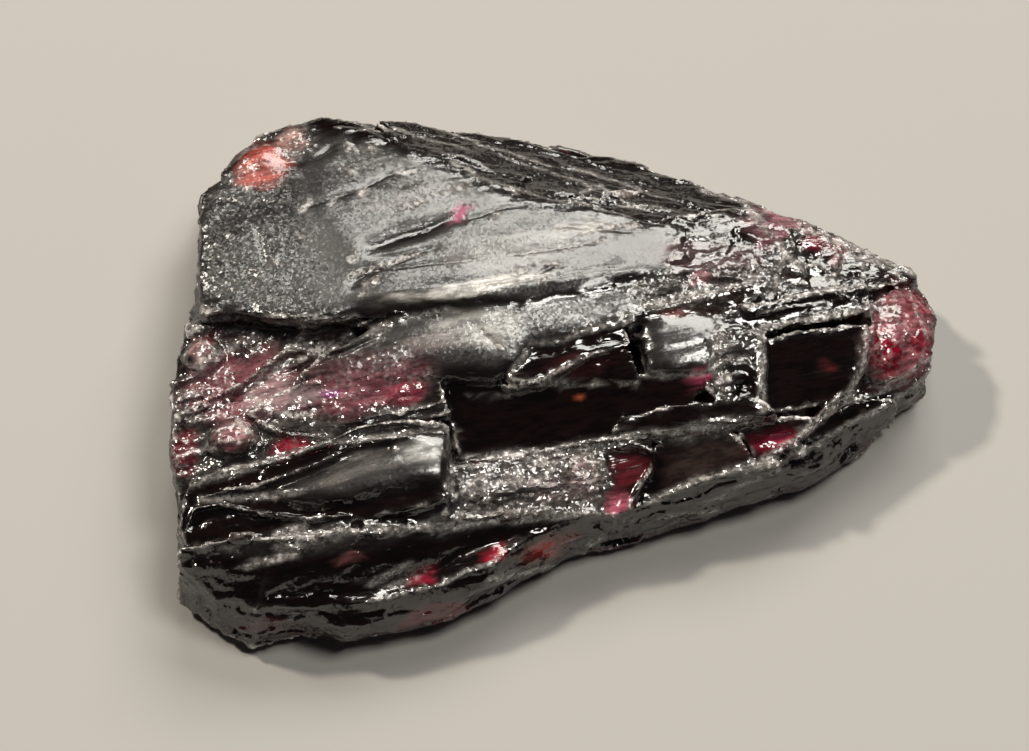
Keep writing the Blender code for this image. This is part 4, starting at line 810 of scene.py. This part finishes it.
points, normals = places(mesh)
picture = on_picture(points)
grain = with_grain(points)
stray = np.stack([layered(grain / STRAY_SIZE, 21), layered(grain / STRAY_SIZE, 22)], axis=1)
facing = in_view(normals)
tint = np.tile(np.array(linear(BROWN_INSIDE)), (len(points), 1))
cloud = np.full(len(points), 0.10)
foot = (1.0 - ramp(points[:, 2], 0.0008, 0.0045)) * (1.0 - ramp(np.abs(normals[:, 2]), 0.5, 0.8))
tint += (np.array(linear(FOOT_RED)) - tint) * (0.8 * foot)[:, None]
cloud += 0.32 * foot
# The colours of the breaks and the painted highlights and sheen go into the tint
for colour, strength, at, half_length, half_width, turn in BREAKS_AND_PAINTED_SHEEN:
    part = strength * spot(picture + 0.9 * stray, at, half_length, half_width, turn) * facing
    tint += (np.array(linear(colour)) - tint) * part[:, None]
    cloud = np.maximum(cloud, part)
satin = zone(picture + 0.6 * stray, SATIN_FACES, 2.0) * facing
crushed = zone(picture + 0.8 * stray, CRUSHED, 2.0) * facing * broken_up(grain)
glassy = zone(picture + 0.4 * stray, GLASSY, 1.2) * facing
crushed = np.maximum(crushed * (1.0 - GLASSY_SHARE * glassy), hidden_crush(grain, facing))
hidden_rose = 0.65 * (1.0 - facing) * ramp(layered(grain / HIDDEN_ROSE_SIZE, 81), 0.10, 0.45)
tint += (np.array(linear(HIDDEN_ROSE)) - tint) * hidden_rose[:, None]
cloud = np.maximum(cloud, hidden_rose)

# Ridges are the edges found above and the chipped lines, and on satin faces the bright marks, some of
# which are painted highlights
ridge_and_glint = np.empty(len(points))
mesh.attributes["edge"].data.foreach_get("value", ridge_and_glint)
ridge_and_glint = np.maximum(ridge_and_glint, chipped(picture + 0.35 * stray, CHIPPED_LINES) * facing)
ridge_and_glint *= 1.0 - 0.9 * satin
ridge_and_glint = np.maximum(ridge_and_glint, chipped(picture + 0.15 * stray, MARKS_AND_PAINTED_GLINTS) * facing)
# Weaker satin in the furrows thins their grey veil, which is painted shade there, and also lowers their
# roughness and tooth
satin *= 1.0 - 0.7 * ramp(furrows(picture), 0.10, 0.40)

# Crushed ground, ridges and satin faces hide the inside. On the satin faces the grey veil is partly
# painted sheen; it is thinner at the left end, as painted shade there, and in clouds
satin_frost_and_sheen = 0.3 + 0.7 * ramp(picture[:, 0], 24.0, 42.0)
satin_frost_and_sheen *= 0.62 + 0.38 * layered(grain / DULL_CLOUD_SIZE, 91)
frost_and_painted_sheen = np.maximum(0.78 * crushed, np.maximum(0.26 * satin * satin_frost_and_sheen, 0.85 * ridge_and_glint))
grey_share = frost_and_painted_sheen * (1.0 - cloud) / (frost_and_painted_sheen + cloud)
tint += (np.array(linear(CRUSHED_AND_SHEEN_GREY)) - tint) * grey_share[:, None]
cloud = np.maximum(cloud, frost_and_painted_sheen)

# Dull ground has a sandy tooth and is rougher
side = steep(normals)
dullness = zone(picture + 1.6 * stray, DULL, 6.0) * (1.0 - GLASSY_SHARE * glassy) * facing
dullness = np.maximum(dullness, 0.5 * side * (1.0 - ridge_and_glint))
sandy = np.maximum(0.12 * satin, np.maximum(0.42 * dullness, 0.22 * side * (1.0 - ridge_and_glint)))
rough = 0.10 + 0.20 * satin + 0.24 * dullness * (1.0 - 0.6 * satin)

# All of it is kept on the mesh's face corners, where the material reads it
surface = {
    "cloud": cloud,
    "satin": satin,
    "crushed": crushed,
    "ridge_and_glint": ridge_and_glint,
    "sandy": sandy,
    "rough": rough,
}
corners = np.empty(len(mesh.loops), dtype=np.int64)
mesh.loops.foreach_get("vertex_index", corners)
for name, values in surface.items():
    layer = mesh.attributes.new(name, "FLOAT", "CORNER")
    layer.data.foreach_set("value", values[corners].astype(np.float32))
layer = mesh.attributes.new("tint", "FLOAT_COLOR", "CORNER")
layer.data.foreach_set("color", tint[corners].astype(np.float32).ravel())


def add(tree, kind, settings=None, values=None, links=None):
    """Add a node: settings are its own properties, values its sockets, links what feeds them."""
    node = tree.nodes.new(kind)
    for name, value in (settings or {}).items():
        setattr(node, name, value)
    for name, value in (values or {}).items():
        node.inputs[name].default_value = value
    for name, source in (links or {}).items():
        tree.links.new(source, node.inputs[name])
    return node


CHIPPED_AND_GLINT_WHITE = "#F0EAE6"
PAINITE_IOR = 1.80
DEEP_RED = (0.80, 0.03, 0.06, 1.0)
ABSORPTION_DENSITY = 1500.0

# Painite as it splits, not cut or polished: glass-smooth, and so dark a red that only thin edges
# and inner breaks let light out
painite = bpy.data.materials.new("painite_cleaved")
painite.use_nodes = True
tree = painite.node_tree
shader = tree.nodes["Principled BSDF"]
output = tree.nodes["Material Output"]

where = add(tree, "ShaderNodeTexCoord")
cloud_part = add(tree, "ShaderNodeAttribute", {"attribute_name": "cloud"})
satin_part = add(tree, "ShaderNodeAttribute", {"attribute_name": "satin"})
crushed_part = add(tree, "ShaderNodeAttribute", {"attribute_name": "crushed"})
ridge_and_glint_part = add(tree, "ShaderNodeAttribute", {"attribute_name": "ridge_and_glint"})
tint_part = add(tree, "ShaderNodeAttribute", {"attribute_name": "tint"})

# Fibres 0.3 mm apart along the grain, and flecks 0.6 mm wide with finer ones in them
fibre_place = add(
    tree, "ShaderNodeMapping",
    values={"Rotation": (0.0, 0.0, -GRAIN)},
    links={"Vector": where.outputs["Object"]},
)
fibre_scale = add(
    tree, "ShaderNodeMapping",
    values={"Scale": (160.0, 3000.0, 3000.0)},
    links={"Vector": fibre_place.outputs["Vector"]},
)
fibre = add(
    tree, "ShaderNodeTexNoise",
    values={"Scale": 1.0, "Detail": 2.0, "Roughness": 0.6},
    links={"Vector": fibre_scale.outputs["Vector"]},
)
fleck = add(
    tree, "ShaderNodeTexNoise",
    values={"Scale": 1700.0, "Detail": 3.0, "Roughness": 0.75},
    links={"Vector": where.outputs["Object"]},
)
chip = add(
    tree, "ShaderNodeTexVoronoi",
    {"feature": "F1"},
    {"Scale": 2300.0},
    {"Vector": fibre_place.outputs["Vector"]},
)

# Whitish where it is crushed and along the chipped ridges, and at the painted highlights among the
# bright marks
crumb_fleck = add(
    tree, "ShaderNodeMapRange",
    values={"From Min": 0.46, "From Max": 0.66, "To Min": 0.0, "To Max": 0.9},
    links={"Value": fleck.outputs["Fac"]},
)
crumb_white = add(
    tree, "ShaderNodeMath", {"operation": "MULTIPLY"}, {},
    {0: crushed_part.outputs["Fac"], 1: crumb_fleck.outputs["Result"]},
)
ridge_and_glint_fleck = add(
    tree, "ShaderNodeMapRange",
    values={"From Min": 0.42, "From Max": 0.60, "To Min": 0.1, "To Max": 1.0},
    links={"Value": fleck.outputs["Fac"]},
)
ridge_and_glint_white = add(
    tree, "ShaderNodeMath", {"operation": "MULTIPLY"}, {},
    {0: ridge_and_glint_part.outputs["Fac"], 1: ridge_and_glint_fleck.outputs["Result"]},
)
white = add(
    tree, "ShaderNodeMath", {"operation": "MAXIMUM"}, {},
    {0: crumb_white.outputs["Value"], 1: ridge_and_glint_white.outputs["Value"]},
)
colour = add(
    tree, "ShaderNodeMix", {"data_type": "RGBA"},
    {"B": linear(CHIPPED_AND_GLINT_WHITE)},
    {"Factor": white.outputs["Value"], "A": tint_part.outputs["Color"]},
)
tree.links.new(colour.outputs["Result"], shader.inputs["Base Color"])

# Clear where it split clean, less so where it is broken inside or crushed, in streaks of 2 mm
streak_scale = add(
    tree, "ShaderNodeMapping",
    values={"Scale": (420.0, 1500.0, 1500.0)},
    links={"Vector": fibre_place.outputs["Vector"]},
)
streak = add(
    tree, "ShaderNodeTexNoise",
    values={"Scale": 1.0, "Detail": 2.0, "Roughness": 0.7},
    links={"Vector": streak_scale.outputs["Vector"]},
)
streak_part = add(
    tree, "ShaderNodeMapRange",
    values={"From Min": 0.38, "From Max": 0.60, "To Min": 0.40, "To Max": 1.0},
    links={"Value": streak.outputs["Fac"]},
)
streaked = add(
    tree, "ShaderNodeMath", {"operation": "MULTIPLY"}, {},
    {0: cloud_part.outputs["Fac"], 1: streak_part.outputs["Result"]},
)
hidden = add(
    tree, "ShaderNodeMath", {"operation": "MAXIMUM"}, {},
    {0: streaked.outputs["Value"], 1: white.outputs["Value"]},
)
clear = add(
    tree, "ShaderNodeMapRange",
    values={"From Min": 0.0, "From Max": 1.0, "To Min": 1.0, "To Max": 0.12},
    links={"Value": hidden.outputs["Value"]},
)
tree.links.new(clear.outputs["Result"], shader.inputs["Transmission Weight"])

# Satin on the broad faces, glass on the small ones
rough_part = add(tree, "ShaderNodeAttribute", {"attribute_name": "rough"})
rough = add(
    tree, "ShaderNodeMath", {"operation": "MULTIPLY_ADD"}, {1: 0.14},
    {0: white.outputs["Value"], 2: rough_part.outputs["Fac"]},
)
tree.links.new(rough.outputs["Value"], shader.inputs["Roughness"])

fibre_part = add(
    tree, "ShaderNodeMapRange",
    values={"From Min": 0.0, "From Max": 1.0, "To Min": 0.35, "To Max": 0.10},
    links={"Value": satin_part.outputs["Fac"]},
)
fibre_bump = add(
    tree, "ShaderNodeBump", values={"Distance": 0.00008},
    links={"Height": fibre.outputs["Fac"], "Strength": fibre_part.outputs["Result"]},
)
chip_bump = add(
    tree, "ShaderNodeBump", values={"Distance": 0.00012},
    links={
        "Height": chip.outputs["Distance"],
        "Strength": crushed_part.outputs["Fac"],
        "Normal": fibre_bump.outputs["Normal"],
    },
)

# Splinters 0.4 mm wide where it is crushed, and a sandy tooth on the satin faces: each one tilts
# its own way, so that some of them glint
tooth = add(
    tree, "ShaderNodeTexVoronoi",
    {"feature": "F1"},
    {"Scale": 4600.0},
    {"Vector": fibre_place.outputs["Vector"]},
)
sandy_part = add(tree, "ShaderNodeAttribute", {"attribute_name": "sandy"})
broken = add(
    tree, "ShaderNodeMath", {"operation": "MAXIMUM"}, {},
    {0: crushed_part.outputs["Fac"], 1: ridge_and_glint_part.outputs["Fac"]},
)
tilted_cells = (
    (chip, broken.outputs["Value"], 1.1),
    (tooth, sandy_part.outputs["Fac"], 1.0),
)
normal = chip_bump.outputs["Normal"]
for cells, part, steepest in tilted_cells:
    tilt = add(
        tree, "ShaderNodeVectorMath", {"operation": "SUBTRACT"}, {1: (0.5, 0.5, 0.5)},
        {0: cells.outputs["Color"]},
    )
    strength = add(tree, "ShaderNodeMath", {"operation": "MULTIPLY"}, {1: steepest}, {0: part})
    own_tilt = add(
        tree, "ShaderNodeVectorMath", {"operation": "SCALE"}, {},
        {0: tilt.outputs["Vector"], "Scale": strength.outputs["Value"]},
    )
    tilted = add(
        tree, "ShaderNodeVectorMath", {"operation": "ADD"}, {},
        {0: normal, 1: own_tilt.outputs["Vector"]},
    )
    even = add(
        tree, "ShaderNodeVectorMath", {"operation": "NORMALIZE"}, {},
        {0: tilted.outputs["Vector"]},
    )
    normal = even.outputs["Vector"]
tree.links.new(normal, shader.inputs["Normal"])
shader.inputs["IOR"].default_value = PAINITE_IOR

# Light is used up within a few millimetres, green and blue first
depths = add(
    tree, "ShaderNodeVolumeAbsorption",
    values={"Color": DEEP_RED, "Density": ABSORPTION_DENSITY},
)
tree.links.new(depths.outputs["Volume"], output.inputs["Volume"])
mesh.materials.clear()
mesh.materials.append(painite)

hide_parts("painite_crystal")
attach(crystal, "root")
